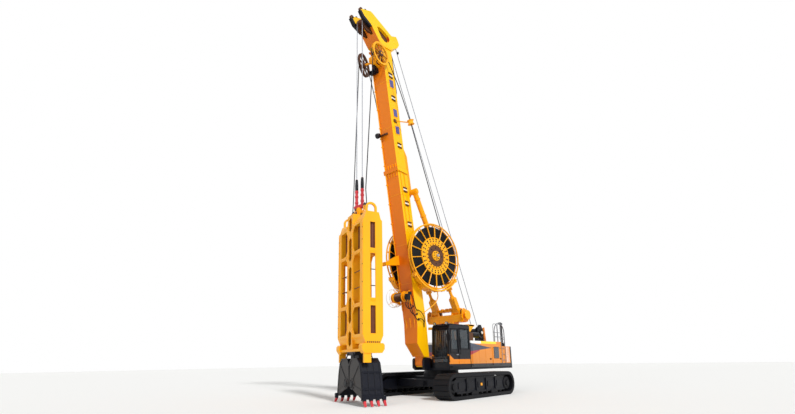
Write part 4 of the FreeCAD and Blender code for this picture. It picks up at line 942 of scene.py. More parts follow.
def cab_details():
    """Window rubbers, rails, mirror, wiper, roof cap, lamps, front guard, step and controls."""
    rubber = []
    left = 1.485
    rear_edge, front_edge, low, high = -0.27, 0.47, 2.12, 3.045
    for z in (low, high):
        rubber.append((((rear_edge + front_edge) / 2, left, z), front_edge - rear_edge + 0.05, 0.04, 0.014,
                       X, Y))
    for x in (rear_edge, front_edge):
        rubber.append(((x, left, (low + high) / 2), high - low + 0.05, 0.04, 0.014, Z, Y))
    for y in (0.6, 1.4):
        rubber.append(((1.29, y, 2.4), 1.35, 0.035, 0.02, RAKED, X))
    for x, z in ((1.345, 1.52), (1.345, 1.71), (windscreen(3.03), 3.03)):
        rubber.append(((x, 1.0, z), 0.84, 0.035, 0.02, Y, X))
    bars("cab_window_rubbers", rubber, "upper", RUBBER)
    tubes("cab_grab_rails", [[(1.33, 1.5, 1.55), (1.4, 1.53, 1.6), (1.36, 1.53, 2.9), (1.28, 1.49, 2.95)],
                             [(0.5, 1.49, 1.9), (0.5, 1.54, 1.92), (0.5, 1.54, 2.6), (0.5, 1.49, 2.62)]],
          0.016,
          "upper", BLACK, bend=0.04)
    tubes("cab_mirror_arm", [[(1.28, 1.46, 2.95), (1.5, 1.6, 2.9), (1.5, 1.6, 2.5)]], 0.012, "upper", BLACK,
          bend=0.05)
    bars("cab_mirror", [((1.5, 1.6, 2.62), 0.36, 0.2, 0.05, Z, X)], "upper", BLACK, corner=0.2)
    tubes("cab_wiper", [[(1.33, 0.7, 1.76), (1.33, 1.05, 2.35)], [(1.31, 1.05, 2.05), (1.3, 1.06, 2.65)]],
          0.01,
          "upper", BLACK, bend=0.02)
    outline = [(-0.34, 3.19), (1.16, 3.19), (1.24, 3.13), (1.27, 3.16), (1.18, 3.25), (-0.34, 3.25)]
    slabs("cab_roof_cap", [([(x, 0.54, z) for x, z in outline], (0, 0.92, 0))], BLACK, "upper",
          edge=0.02)
    bars("cab_roof_ribs", [((0.45, y, 3.255), 1.3, 0.08, 0.02, X, Z) for y in (0.72, 1.0, 1.28)], "upper",
         BLACK, corner=0.3)
    lamps, lenses = [], []
    for y in (0.66, 1.34):
        spot, beam = (1.24, y, 3.27), (1, 0, -0.15)
        lamps.append(([(-0.06, 0), (-0.06, 0.05), (0.0, 0.07), (0.03, 0.075), (0.03, 0)], spot, beam))
        lenses.append(([(0.03, 0), (0.03, 0.062), (0.038, 0.05), (0.041, 0)], spot, beam))
    turned("cab_roof_lamps", lamps, BLACK, "upper", steps=20)
    turned("cab_lamp_lenses", lenses, CHROME, "upper", steps=20)
    guard = [((windscreen(2.4, 0.02), y, 2.42), 1.3, 0.022, 0.022, RAKED, X)
             for y in (0.66, 0.77, 0.88, 0.99, 1.1, 1.21, 1.32)]
    guard += [((windscreen(z, 0.02), 1.0, z), 0.8, 0.03, 0.022, Y, X) for z in (1.86, 2.98)]
    bars("cab_front_guard", guard, "upper", BLACK)
    # Step and sill below the door, with a kick edge.
    bars("cab_step",
         [((0.95, 1.52, 1.33), 0.6, 0.1, 0.03, X, Z), ((0.95, 1.56, 1.33), 0.6, 0.03, 0.05, X, Z)],
         "upper", BLACK)
    # Controls in front of the seat.
    tubes("cab_levers", [[(0.62, y, 1.5), (0.66, y, 1.95)] for y in (0.8, 1.2)] +
          [[(0.95, y, 1.42), (0.98, y, 1.8)] for y in (0.86, 1.14)], 0.014, "upper", BLACK)
    turned("cab_lever_knobs",
           [([(-0.05, 0), (-0.04, 0.028), (0.04, 0.035), (0.06, 0)], (0.66, y, 1.98), (0, 0, 1))
            for y in (0.8, 1.2)], RUBBER, "upper", steps=16)
    bars("cab_console_screen", [((1.02, 0.72, 2.1), 0.24, 0.2, 0.03, Y, Vector((-1, 0.3, 0.3)))], "upper",
         BLACK)


def door_details():
    """Rubbers, handle and pull on the cab door."""
    frame_bars = []
    left = 1.487
    low, high, back, fore = 1.94, 3.02, 0.6, 1.17
    for z in (low, high):
        frame_bars.append((((back + fore) / 2, left, z), fore - back, 0.035, 0.014, X, Y))
    frame_bars.append(((back, left, 2.48), 1.1, 0.035, 0.014, Z, Y))
    frame_bars.append(((fore + 0.02, left, 2.48), 1.1, 0.035, 0.014, Vector((-0.05, 0, 1)), Y))
    bars("cab_door_rubbers", frame_bars, "cab_door", RUBBER)
    bars("cab_door_handle", [((0.72, 1.5, 1.86), 0.16, 0.045, 0.035, X, Y)], "cab_door", GREY,
         corner=0.3)
    tubes("cab_door_pull", [[(0.66, 1.49, 2.0), (0.66, 1.53, 2.02), (0.66, 1.53, 2.5), (0.66, 1.49, 2.52)]],
          0.012,
          "cab_door", BLACK, bend=0.03)


cab_details()
door_details()


# ---------------------------------------------------------------- house

# The house's side, the winch's axis and its cheeks, and the luffing cylinders' two pins.
HOUSE_Y = 1.5
WINCH, WINCH_Y = (-2.95, 0, 3.04), 0.455
LUFF_FOOT, LUFF_TOP, LUFF_Y = (-0.66, 0, 3.98), (2.38, 0, 9.52), 0.64


def house_details():
    """Platform, gantry lugs, hood and winch pieces, ladders, hatches, tail, exhaust bands and rails."""
    gantry_x = LUFF_FOOT[0]
    bars("gantry_platform",
         [((gantry_x, 0.2, 3.25), 2.5, 0.5, 0.08, Y, Z), ((-0.43, 0.2, 3.23), 2.5, 0.03, 0.13, Y, Z)],
         "upper", PALE_ENAMEL)
    slabs("gantry_platform_end",
          [([(-0.9, 1.42, 3.28), (-0.42, 1.42, 3.28), (-0.42, 1.42, 2.96), (-0.5, 1.42, 2.94)],
            (0, 0.03, 0))], PALE_ENAMEL, "upper")
    spots = []
    for y in (-0.98, -0.86, -0.42, -0.3, 0.3, 0.42, 0.86, 0.98):
        for z in (3.52, 3.64, 3.76):
            spots.append(((gantry_x + 0.205, y, z), X))
            spots.append(((gantry_x - 0.205, y, z), -X))
    lumps = [([(0, 0), (0, 0.15), (0.12, 0.14), (0.19, 0.08), (0.2, 0)], (gantry_x, y, 4.0), (0, 0, 1))
             for y in (-0.25, 0.02, 0.24)]
    lumps.append(([(0, 0), (0, 0.24), (0.05, 0.24), (0.07, 0.2), (0.07, 0)], (gantry_x, 1.22, 3.78),
                  (0, 1, 0)))
    turned("gantry_lugs", lumps, ENAMEL, "upper", edge=0.01, steps=28)
    bolts("gantry_bolts", spots, "upper", ENAMEL, "yellow_paint", radius=0.022, height=0.02)
    pins = []
    for y in (LUFF_Y, -LUFF_Y):
        for edge in (-1, 1):
            pins.append(([(0, 0), (0, 0.115), (0.02, 0.115), (0.025, 0.07), (0.045, 0.065), (0.045, 0)],
                         at_y(LUFF_FOOT, y + edge * 0.252), (0, edge, 0)))
    turned("gantry_pin_caps", pins, BROWN, "upper", edge=0.004, steps=28)
    # Reservoir and hydraulic motor on the hood, forward of the winch.
    slabs("hood_reservoir",
          [([(-1.42, 0.62, 2.52), (-1.02, 0.62, 2.52), (-1.02, 0.62, 2.96), (-1.42, 0.62, 2.96)],
            (0, 0.4, 0))], BROWN, "upper", edge=0.03)
    turned("winch_motor",
           [([(-0.3, 0), (-0.3, 0.12), (-0.26, 0.14), (0.3, 0.14), (0.32, 0.1), (0.5, 0.1), (0.52, 0.08),
              (0.52, 0)], (-1.85, 0.82, 2.86), (1, 0, 0))], BLACK, "upper", edge=0.006,
           steps=32)
    # Winch faces: gearbox flange with a pale centre boss.
    flange = []
    for side in (1, -1):
        flange.append(([(0, 0), (0, 0.3), (0.05, 0.3), (0.06, 0.28), (0.07, 0.16), (0.12, 0.15), (0.13, 0)],
                       at_y(WINCH, side * WINCH_Y), (0, side, 0)))
    turned("winch_gearbox", flange, BLACK, "upper", edge=0.006, steps=40)
    turned("winch_boss",
           [([(0.125, 0), (0.125, 0.075), (0.155, 0.07), (0.16, 0)], at_y(WINCH, side * WINCH_Y),
             (0, side, 0)) for side in (1, -1)], WHITE, "upper", steps=28)
    spots = [(around_y(WINCH, 0.24, 30 * k, side * 0.52), Y * side) for k in range(12) for side in (1, -1)]
    bolts("winch_bolts", spots, "upper", STEEL, radius=0.018, height=0.02)
    brace = []
    for y in (0.52, -0.58):
        brace.append(([(-3.35, y, 2.53), (-3.2, y, 2.53), (-3.12, y, 3.3), (-3.24, y, 3.34)], (0, 0.06, 0)))
    slabs("winch_braces", brace, HOUSE, "upper")
    # Grab rails down the side to the deck, and rungs between them.
    fore, aft = -3.24, -3.58
    runs, rungs = [], []
    for side in (1, -1):
        y = side * 1.54
        for x in (fore, aft):
            runs.append([(x, side * 1.45, 2.7), (x, y, 2.6), (x, y, 1.5), (x, side * HOUSE_Y, 1.42)])
        rungs += [[(fore, y, z), (aft, y, z)] for z in (1.6, 1.9, 2.2, 2.5)]
    tubes("side_ladder_rails", runs, 0.014, "upper", GREY, bend=0.08)
    tubes("side_ladder_rungs", rungs, 0.011, "upper", GREY)
    tail_bars = []
    for side in (1, -1):
        for x, width in ((-3.78, 0.05), (-3.9, 0.035), (-4.0, 0.02)):
            tail_bars.append(((x, side * 1.502, 1.88), 0.78, width, 0.006, Z, Y * side))
    bars("tail_side_bands", tail_bars, "upper", WHITE)
    # Hatches on the hood.
    bars("hood_hatches", [((x, y, 2.53), 0.5, 0.6, 0.03, X, Z) for x, y in ((-1.3, -0.7), (-2.1, -0.8))] +
         [((-3.5, y, 2.312), 0.5, 0.8, 0.03, X, Z) for y in (-0.7, 0.5)], "upper", HOUSE)
    # Tail: grille between two posts, and lamps.
    tail = -4.452
    slats = [((tail, 0, 1.5 + 0.075 * k), 1.7, 0.03, 0.02, Y, -X) for k in range(9)]
    bars("tail_grille", slats, "upper", GREY)
    bars("tail_grille_frame", [((tail, y, 1.8), 0.72, 0.06, 0.03, Z, -X) for y in (-0.9, 0.9)], "upper",
         BLACK)
    bars("tail_lamps", [((-4.42, y, 2.15), 0.16, 0.08, 0.03, Y, -X) for y in (-1.2, 1.2)], "upper", RED)
    # Clamp bands round the exhaust.
    bands = [([(z, 0.05), (z, 0.075), (z + 0.03, 0.075), (z + 0.03, 0.05)], (-3.93, 1.18, 0), (0, 0, 1))
             for z in (2.62, 2.95, 3.28)]
    turned("exhaust_bands", bands, STEEL, "upper", steps=28)
    # Rails on the hood's near and far edge.
    runs = []
    for side in (1, -1):
        y = side * 1.4
        low, high = 2.5, 3.45
        for x0, x1 in ((-2.7, -3.1), (-3.15, -3.5)):
            runs.append([(x0, y, low), (x0, y, high), (x1, y, high), (x1, y, low)])
        runs.append([(-2.7, y, 3.0), (-3.5, y, 3.0)])
    tubes("hood_rails", runs, 0.014, "upper", GREY, bend=0.12)


def side_door_details():
    """Vents, latches, seams and folds on the four side doors."""
    for side, label in SIDES:
        y = side * HOUSE_Y
        way = Y * side
        vent_x = -2.72
        slats = [((vent_x, y + side * 0.012, 1.72 + 0.045 * k), 0.46, 0.024, 0.02, X,
                  way + Vector((0, 0, -0.5)))
                 for k in range(12)]
        bars("vent_slats_" + label, slats, "rear_door_" + label, GREY)
        bars("vent_panel_" + label, [((vent_x, y + side * 0.003, 1.97), 0.5, 0.58, 0.006, X, way)],
             "rear_door_" + label, BLACK, corner=0.02)
        for end, x in (("front", -2.12), ("rear", -3.1)):
            body = "%s_door_%s" % (end, label)
            bars("%s_latch" % body, [((x, y + side * 0.008, 1.66), 0.12, 0.07, 0.02, X, way)], body, BLACK,
                 corner=0.2)
            bars("%s_seams" % body,
                 [((x, y + side * 0.002, z), 0.16, 0.012, 0.008, X, way) for z in (1.38, 2.19)],
                 body, BLACK)
        seam = [((x, y + side * 0.002, 1.79), 0.8, 0.012, 0.006, Z, way) for x in (-1.1, -1.68)]
        bars("front_door_%s_folds" % label, seam, "front_door_" + label, HOUSE)


house_details()
side_door_details()


# ---------------------------------------------------------------- luffing cylinders

def cylinder_details():
    """Rod-eye castings, barrel bands and hard lines on the two luffing cylinders."""
    top, foot = Vector(LUFF_TOP), Vector(LUFF_FOOT)
    way = (foot - top).normalized()
    for side, label in SIDES:
        y = Y * side * LUFF_Y
        eye = [([(0.1, 0.07), (0.1, 0.115), (0.2, 0.135), (0.72, 0.135), (0.8, 0.115), (0.86, 0.09),
                 (0.86, 0.076)],
                foot + y, -way)]
        turned("rod_eye_casting_" + label, eye, ENAMEL, "luff_rod_" + label, edge=0.006, steps=36)
        bands = []
        for at in (0.35, 1.2, 2.4, 3.6, 4.75):
            bands.append(([(at, 0.12), (at, 0.15), (at + 0.07, 0.15), (at + 0.07, 0.12)], top + y, way))
        turned("barrel_bands_" + label, bands, ENAMEL, "luff_barrel_" + label, edge=0.005, steps=36)
        off = Vector((-way[2], 0, way[0]))
        if off[0] > 0:
            off = -off
        line = [top + y + way * 0.5 + off * 0.12, top + y + way * 0.55 + off * 0.17,
                top + y + way * 4.8 + off * 0.17, top + y + way * 4.9 + off * 0.12]
        tubes("barrel_hard_line_" + label, [line], 0.018, "luff_barrel_" + label, ENAMEL, bend=0.05)


cylinder_details()


# ---------------------------------------------------------------- crawler

def crawler_details():
    """Ribs, guides, hub lids and roller bosses on both crawler sides, travel hoses and the ring's bolts."""
    middle, axle = 0.56, 0.53
    for side, label in SIDES:
        way = Y * side
        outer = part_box("track_frame_" + label)[1 if side == 1 else 0][1]
        plates, lids, spots, guards = [], [], [], []
        for x in (-1.55, -0.75, 0.05, 0.85, 1.55):
            plates.append(((x, outer + side * 0.012, middle), 0.5, 0.26, 0.024, X, way))
        for x in (-1.15, -0.35, 0.45, 1.2):
            plates.append(((x, outer + side * 0.025, middle), 0.62, 0.06, 0.05, Z, way))
        plates += [((0, outer + side * 0.02, 0.86), 4.0, 0.07, 0.04, X, way),
                   ((0, outer + side * 0.02, 0.28), 3.9, 0.07, 0.04, X, way)]
        bars("track_frame_ribs_" + label, plates, "undercarriage", BLACK)
        for x in (-0.95, 0.65):
            guards.append(((x, outer + side * 0.05, 0.2), 0.55, 0.16, 0.06, X, way))
        bars("track_guides_" + label, guards, "undercarriage", CAST)
        for x, big in ((-2.19, 0.3), (2.19, 0.25)):
            lids.append(([(0, 0), (0, big), (0.05, big), (0.065, big - 0.03), (0.07, 0.14), (0.12, 0.13),
                          (0.125, 0)], (x, outer - side * 0.02, axle), (0, side, 0)))
            spots += [(around_y((x, 0, axle), big - 0.05, 30 * k, outer + side * 0.035),
                       way) for k in range(12)]
        for k in range(9):
            lids.append(([(0, 0), (0, 0.075), (0.03, 0.07), (0.035, 0)],
                         (-1.6 + 0.4 * k, outer - side * 0.005, 0.21),
                         (0, side, 0)))
        for x in (-0.8, 0.8):
            lids.append(([(0, 0), (0, 0.07), (0.03, 0.065), (0.035, 0)], (x, outer - side * 0.005, 0.9),
                         (0, side, 0)))
        turned("track_hub_lids_" + label, lids, CAST, "undercarriage", edge=0.004, steps=32)
        bolts("track_hub_bolts_" + label, spots, "undercarriage", STEEL, radius=0.018, height=0.02)
        bars("track_grease_plate_" + label,
             [((0.05, outer + side * 0.03, middle), 0.13, 0.11, 0.02, X, way)],
             "undercarriage", ENAMEL)
    # Travel hoses from the swivel to both sides.
    runs = []
    for side in (1, -1):
        for x in (-0.5, -0.42, -0.34):
            runs.append([(x * 0.5, side * 0.3, 0.98), (x, side * 0.7, 0.93), (x - 0.2, side * 1.3, 0.9),
                         (x - 0.3, side * 1.62, 0.74)])
    tubes("travel_hoses", runs, 0.018, "undercarriage", RUBBER, bend=0.1)
    reach, under = 0.76, 1.03
    ring_bolts = [(Vector((reach * math.cos(math.radians(15 * k)), reach * math.sin(math.radians(15 * k)),
                           under)), -Z)
                  for k in range(24)]
    bolts("slew_ring_bolts", ring_bolts, "undercarriage", STEEL, radius=0.02, height=0.02)


crawler_details()


# ---------------------------------------------------------------- grab

# Half the frame's width and depth, half the middle column, and the jaws' pins: along, height and face.
GRAB_HALF, GRAB_DEEP, CORE = 1.32, 0.42, 0.29
PIN_ALONG, PIN_Z, PIN_FACE = 0.3, 0.78, 0.43
NEAR_FAR = ((1, "near"), (-1, "far"))
OUTWARDS = {1: "out", -1: "-out"}


def grab_bars(name, rows, body, material, **more):
    """Bars given in the grab's own directions."""
    ways = {"out": ACROSS, "along": ALONG, "up": Z}
    items = []
    for (out, along, height), length, width, proud, lie, face in rows:
        way = ways[face.strip("-")] * (-1 if face.startswith("-") else 1)
        items.append((on_grab(out, along, height), length, width, proud, ways[lie], way))
    return bars(name, items, body, material, **more)


def grab_details():
    """Weld beads, edge strips, rungs, pipes, bolts and hose pulleys on the grab's frame."""
    strips, rungs, beads, pipes, spots, slot_shade_plates = [], [], [], [], [], []
    for face in (1, -1):
        facing = OUTWARDS[face]
        for side in (1, -1):
            # Rubbing strips down the legs and a rim round the middle box.
            strips.append(((face * (GRAB_DEEP + 0.006), side * (GRAB_HALF - 0.05), 4.85), 4.5, 0.07, 0.012,
                           "up",
                           facing))
            strips.append(((face * (GRAB_DEEP + 0.004), side * (CORE - 0.03), 4.8), 5.1, 0.035, 0.02, "up",
                           facing))
            for height in (3.77, 5.91):
                strips.append(((face * (GRAB_DEEP + 0.003), side * 0.72, height), 0.86, 0.03, 0.02, "along",
                               facing))
            for height in (2.45, 7.2):
                beads.append(((face * (GRAB_DEEP + 0.002), side * 0.66, height), 0.72, 0.02, 0.014, "along",
                              facing))
            for height in (3.0, 3.5, 4.6, 5.3, 6.3, 6.8):
                spots.append((on_grab(face * (GRAB_DEEP + 0.008), side * (GRAB_HALF - 0.05), height),
                              ACROSS * face))
    grab_bars("grab_edge_strips", strips, "grab", PALE_ENAMEL)
    grab_bars("grab_weld_beads", beads, "grab", PALE_ENAMEL, corner=0.3)
    bolts("grab_strip_bolts", spots, "grab", BROWN, radius=0.02, height=0.02)
    for side, label in NEAR_FAR:
        way = "along" if side == 1 else "-along"
        spots = [(on_grab(-0.24 + 0.08 * j, side * (GRAB_HALF + 0.002), 2.32),
                  ALONG * side) for j in range(7)]
        bolts("grab_collar_bolts_" + label, spots, "grab", BROWN, radius=0.02,
              height=0.03)
        for height in (4.52, 5.18):
            rungs.append([on_grab(-0.3, side * 1.05, height), on_grab(0.3, side * 1.05, height)])
            rungs.append([on_grab(0.34, side * 0.3, height - 0.05),
                          on_grab(0.34, side * 1.02, height - 0.05)])
        # Plates inside the top and bottom slots are painted dark red-brown as painted shade in the hollow
        # frame.
        for low, high in ((2.64, 3.7), (5.98, 7.06)):
            middle = (low + high) / 2
            slot_shade_plates.append(((0, side * (GRAB_HALF - 0.1), middle), high - low + 0.1, 0.3, 0.02, "up", way))
            slot_shade_plates += [((out, side * (GRAB_HALF - 0.08), middle), high - low, 0.03, 0.04, "up", way)
                      for out in (-0.09, 0.0, 0.09)]
            for face in (1, -1):
                facing = OUTWARDS[face]
                for along in (0.5, 0.62, 0.74, 0.86):
                    slot_shade_plates.append(((face * 0.25, side * along, middle), high - low, 0.03, 0.02, "up", facing))
                slot_shade_plates.append(((face * 0.235, side * 0.68, middle), high - low, 0.46, 0.012, "up", facing))
        pipes.append([on_grab(-0.05, side * 0.42, 2.2), on_grab(-0.05, side * 0.42, 7.0),
                      on_grab(-0.03, side * 0.3, 7.5), on_grab(0, side * 0.28, 7.75)])
        pipes.append([on_grab(0.06, side * 0.4, 2.2), on_grab(0.06, side * 0.4, 7.05),
                      on_grab(0.05, side * 0.34, 7.4), on_grab(0.04, side * 0.24, 7.75)])
        # Raised ribs across each end plate, and the lower shoe's wear bars.
        for height in (3.91, 5.82):
            grab_bars("grab_end_rib_%s_%d" % (label, height * 10),
                      [((0, side * (GRAB_HALF + 0.004), height), 0.22, 0.1, 0.01, "out", way)], "grab",
                      ENAMEL)
    grab_bars("grab_slot_shade_plates", slot_shade_plates, "grab", SLOT_SHADE_OXIDE)
    tubes("grab_rungs", rungs, 0.018, "grab", BROWN)
    tubes("grab_pipes", pipes, 0.025, "grab", BROWN, bend=0.08)
    # Hose pulleys on the frame's top.
    pulleys, forks = [], []
    for side in (1, -1):
        spot = on_grab(0, side * 0.62, 7.95)
        pulleys.append(([(-0.05, 0), (-0.05, 0.17), (-0.02, 0.14), (0.02, 0.14), (0.05, 0.17), (0.05, 0)],
                        spot,
                        ACROSS))
        forks += [((face * 0.07, side * 0.62, 7.68), 0.62, 0.12, 0.025, "up", "out") for face in (1, -1)]
    turned("grab_hose_pulleys", pulleys, BLACK, "grab", edge=0.004, steps=28)
    grab_bars("grab_pulley_forks", forks, "grab", ENAMEL)
    # Cheek plates and pins of the turning head.
    cheeks = [((face * 0.16, 0, 7.82), 0.34, 0.3, 0.03, "up", OUTWARDS[face]) for face in (1, -1)]
    grab_bars("grab_head_cheeks", cheeks, "grab", ENAMEL)
    pins = [([(0, 0), (0, 0.06), (0.04, 0.06), (0.045, 0)], on_grab(face * 0.17, along, height),
             ACROSS * face)
            for face in (1, -1) for along, height in ((0, 7.98), (-0.09, 7.8), (0.09, 7.8))]
    turned("grab_head_pins", pins, BROWN, "grab", edge=0.003, steps=20)


def neck_details():
    """Caps on the jaws' pins, and the hoses down the grab's neck."""
    for side, label in NEAR_FAR:
        body = "jaw_" + label
        pins = [([(0, 0), (0, 0.13), (0.03, 0.13), (0.035, 0.09), (0.05, 0.085), (0.05, 0)],
                 on_grab(face * PIN_FACE, side * PIN_ALONG, PIN_Z), ACROSS * face) for face in (1, -1)]
        turned(body + "_pin_caps", pins, BLACK, body, edge=0.004, steps=28)
    loops = []
    for side in (1, -1):
        for out in (0.3, -0.3):
            loops.append([on_grab(out, side * 0.15, 2.0), on_grab(out * 1.25, side * 0.3, 1.9),
                          on_grab(out * 1.28, side * 0.42, 1.72), on_grab(out * 1.1, side * 0.4, 1.55)])
    tubes("neck_hoses", loops, 0.022, "grab", RUBBER, bend=0.08)


def stretch(start, end, width, proud, way, more=0.0):
    """A bar from one place to another, and so much longer."""
    run = end - start
    return (start + end) / 2, run.length + more, width, proud, run.normalized(), way


def jaw_details(body, side):
    """Ribs, rim strips, bosses and tooth sockets on one jaw."""
    items, bosses, spots, sockets = [], [], [], []
    plate, circle = PIN_FACE + 0.007, 0.185
    rim = [(0.06, 1.5), (0.25, 1.74), (0.8, 1.74), (1.02, 1.56), (1.14, 1.15), (1.25, 0.45), (1.25, 0.25)]
    for face in (1, -1):
        for (a0, z0), (a1, z1) in zip(rim, rim[1:]):
            start = on_grab(face * plate, side * (a0 - 0.04), z0 - 0.03)
            end = on_grab(face * plate, side * (a1 - 0.04), z1 - 0.03)
            items.append(stretch(start, end, 0.06, 0.016, ACROSS * face, 0.02))
        for (a0, z0), (a1, z1) in (((0.32, 0.9), (0.95, 1.5)), ((0.34, 0.72), (1.1, 0.6))):
            start, end = on_grab(face * plate, side * a0, z0), on_grab(face * plate, side * a1, z1)
            items.append(stretch(start, end, 0.05, 0.02, ACROSS * face))
        bosses.append(([(0, 0.16), (0.025, 0.16), (0.03, 0.2), (0, 0.22), (0, 0.16)],
                       on_grab(face * PIN_FACE, side * PIN_ALONG, PIN_Z), ACROSS * face))
        for k in range(8):
            turn = math.radians(45 * k)
            spots.append((on_grab(face * (PIN_FACE + 0.02), side * PIN_ALONG + circle * math.cos(turn),
                                  PIN_Z + circle * math.sin(turn)), ACROSS * face))
    # Stiffeners down the curved back, and strips across it.
    back = rim[3:6]
    for out in (-0.37, -0.13, 0.13, 0.37):
        for (a0, z0), (a1, z1) in zip(back, back[1:]):
            start, end = on_grab(out, side * (a0 + 0.012), z0), on_grab(out, side * (a1 + 0.012), z1)
            items.append(stretch(start, end, 0.05, 0.03, (end - start).normalized().cross(ACROSS) * -side))
    for along, height in ((1.135, 1.22), (1.235, 0.62), (1.25, 0.33)):
        items.append((on_grab(0, side * (along + 0.01), height), 0.84, 0.07, 0.025, ACROSS, ALONG * side))
    bars(body + "_ribs", items, body, NAVY)
    turned(body + "_bosses", bosses, NAVY, body, steps=36)
    bolts(body + "_boss_bolts", spots, body, BLACK, "jaw_steel", radius=0.02, height=0.02)
    for k in range(4):
        out = (1.5 - k) * 0.269 - side * 0.067
        sockets.append((on_grab(out, side * 1.235, 0.27), 0.2, 0.13, 0.1, Z, ALONG * side))
    bars(body + "_tooth_sockets", sockets, body, NAVY, corner=0.15)


grab_details()
neck_details()
for side, label in NEAR_FAR:
    jaw_details("jaw_" + label, side)


# ---------------------------------------------------------------- service winch on the mast

def service_winch_details():
    """Rope turns, hoop, flange caps, valve block and looping hoses."""
    centre = (2.7, 0, 4.47)
    profile, low, half = [], 0.172, 0.245
    turns = 13
    for k in range(turns):
        at = -half + 2 * half * k / turns
        profile += [(at, low), (at + half / turns, low + 0.03)]
    profile += [(half, low), (half, 0.1), (-half, 0.1), profile[0]]
    turned("service_rope_turns", [(profile, at_y(centre, -0.14), (0, 1, 0))], BROWN, "aux_drum",
           steps=36)
    ring, stations = 0.42, (-0.62, -0.42)
    turned("service_hoop", [(hoop(ring, 0.016), at_y(centre, y), (0, 1, 0)) for y in stations], WHITE,
           "mast",
           steps=48)
    tubes("service_hoop_stays", [[around_y(centre, 0.22, turn, -0.5), around_y(centre, ring, turn, y)]
                                 for turn in (100, 170, 240, 310) for y in stations], 0.012, "mast", ENAMEL)
    caps = [([(0, 0), (0, 0.23), (0.03, 0.23), (0.035, 0.17), (0.1, 0.15), (0.11, 0.08), (0.11, 0)],
             at_y(centre, -0.505), (0, -1, 0)),
            ([(0, 0), (0, 0.22), (0.04, 0.22), (0.05, 0.12), (0.16, 0.11), (0.17, 0)], at_y(centre, 0.225),
             (0, 1, 0))]
    turned("service_winch_caps", caps, ENAMEL, "mast", edge=0.005, steps=36)
    spots = [(around_y(centre, 0.195, 30 * k, -0.535), -Y) for k in range(12)]
    spots += [(around_y(centre, 0.18, 30 * k, 0.265), Y) for k in range(12)]
    bolts("service_winch_bolts", spots, "mast", BROWN, radius=0.014, height=0.02)
    bars("service_valve_block",
         [((2.82, 0.42, 4.42), 0.26, 0.2, 0.16, Z, Y), ((2.68, 0.43, 4.6), 0.14, 0.12, 0.12, Z, Y)],
         "mast", BLACK)
    runs = [[(2.9, 0.42, 4.3), (3.02, 0.46, 4.05), (2.9, 0.5, 3.86), (2.66, 0.5, 3.92), (2.46, 0.45, 4.02)],
            [(2.84, 0.48, 4.3), (2.92, 0.52, 4.0), (2.74, 0.56, 3.7), (2.44, 0.5, 3.62), (2.2, 0.44, 3.7)],
            [(2.72, 0.44, 4.34), (2.7, 0.5, 3.96), (2.56, 0.54, 3.62), (2.3, 0.5, 3.42), (2.1, 0.44, 3.46)],
            [(2.6, 0.44, 4.56), (2.5, 0.5, 4.3), (2.4, 0.5, 3.98), (2.26, 0.46, 3.84), (2.14, 0.43, 3.88)],
            [(2.14, 0.44, 3.88), (2.0, 0.5, 3.8), (1.82, 0.5, 3.62), (1.7, 0.46, 3.42), (1.74, 0.42, 3.26)],
            [(2.1, 0.44, 3.46), (1.95, 0.5, 3.5), (1.78, 0.48, 3.34), (1.72, 0.42, 3.12)]]
    tubes("service_winch_hoses", runs, 0.02, "mast", RUBBER, bend=0.16)
    clips = [((x, 0.42, z), 0.1, 0.06, 0.06, Z, Y) for x, z in ((2.2, 3.7), (2.1, 3.46), (2.46, 4.02))]
    bars("service_hose_clips", clips, "mast", BROWN)


service_winch_details()


# ---------------------------------------------------------------- studio

FLOOR_HALF, SIGHT = 150, 400
# Each lamp: name, heading, height, strength and apparent width in degrees.
LAMPS = (("key", (-0.35, -1.0), 0.85, 2.5, 8), ("fill", (-1.0, -0.1), 0.35, 0.7, 40))
CAMERA_AT = (16.868, 12.743, 1.580)
# The camera's heading, lift and roll in degrees.
CAMERA_TURNS = (43.805, 12.892, -0.823)
# Its focal length and sensor in millimetres, and its shift.
FOCAL, SENSOR, SHIFT = 18.998, 36, (0.01106, 0.07413)


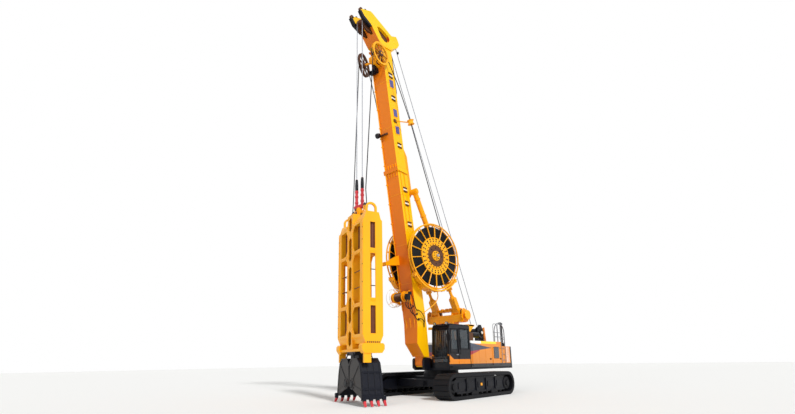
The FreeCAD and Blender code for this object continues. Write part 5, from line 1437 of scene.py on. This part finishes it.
def studio():
    """Pale floor, soft light and the camera."""
    floor = bmesh.new()
    bmesh.ops.create_grid(floor, x_segments=1, y_segments=1, size=FLOOR_HALF)
    mesh = bpy.data.meshes.new("floor")
    floor.to_mesh(mesh)
    ground = placed("floor", mesh)
    pale = bpy.data.materials.new("pale studio floor")
    pale.use_nodes = True
    shader = pale.node_tree.nodes["Principled BSDF"]
    shader.inputs["Base Color"].default_value = linear("#F4F4F2")
    shader.inputs["Roughness"].default_value = 0.9
    mesh.materials.append(pale)
    world = bpy.data.worlds.new("studio")
    bpy.context.scene.world = world
    world.use_nodes = True
    tree = world.node_tree
    tree.nodes.clear()
    rays = add(tree, "ShaderNodeLightPath").outputs
    seen = add(tree, "ShaderNodeMath", {0: rays["Is Camera Ray"], 1: rays["Is Transmission Ray"]},
               operation="MAXIMUM")
    shown = add(tree, "ShaderNodeMath", {0: seen.outputs[0], 1: rays["Is Glossy Ray"]}, operation="MAXIMUM")
    soft = add(tree, "ShaderNodeBackground", {"Color": linear("#FFFFFF"), "Strength": 0.42})
    white = add(tree, "ShaderNodeBackground", {"Color": linear("#FFFFFF"), "Strength": 1.0})
    mix = add(tree, "ShaderNodeMixShader",
              {"Fac": shown.outputs[0], 1: soft.outputs[0], 2: white.outputs[0]})
    add(tree, "ShaderNodeOutputWorld", {"Surface": mix.outputs[0]})
    for name, heading, height, strength, angle in LAMPS:
        lamp = bpy.data.lights.new(name, "SUN")
        lamp.energy = strength
        lamp.angle = math.radians(angle)
        placed(name, lamp).rotation_euler = Vector((heading[0], heading[1],
                                                    -height)).to_track_quat("-Z", "Y").to_euler()
    turn, lift, roll = (math.radians(angle) for angle in CAMERA_TURNS)
    ahead = Vector((-math.cos(turn) * math.cos(lift), -math.sin(turn) * math.cos(lift), math.sin(lift)))
    right = Vector((-math.sin(turn), math.cos(turn), 0))
    top = right.cross(ahead)
    right, top = right * math.cos(roll) + top * math.sin(roll), top * math.cos(roll) - right * math.sin(roll)
    lens = bpy.data.cameras.new("camera")
    lens.lens = FOCAL
    lens.sensor_width = SENSOR
    lens.shift_x, lens.shift_y = SHIFT
    lens.clip_end = SIGHT
    camera = placed("camera", lens)
    camera.matrix_world = Matrix.Translation(CAMERA_AT) @ Matrix((right, top, -ahead)).transposed().to_4x4()
    bpy.context.scene.camera = camera
    bpy.context.scene.view_settings.view_transform = "Standard"


studio()
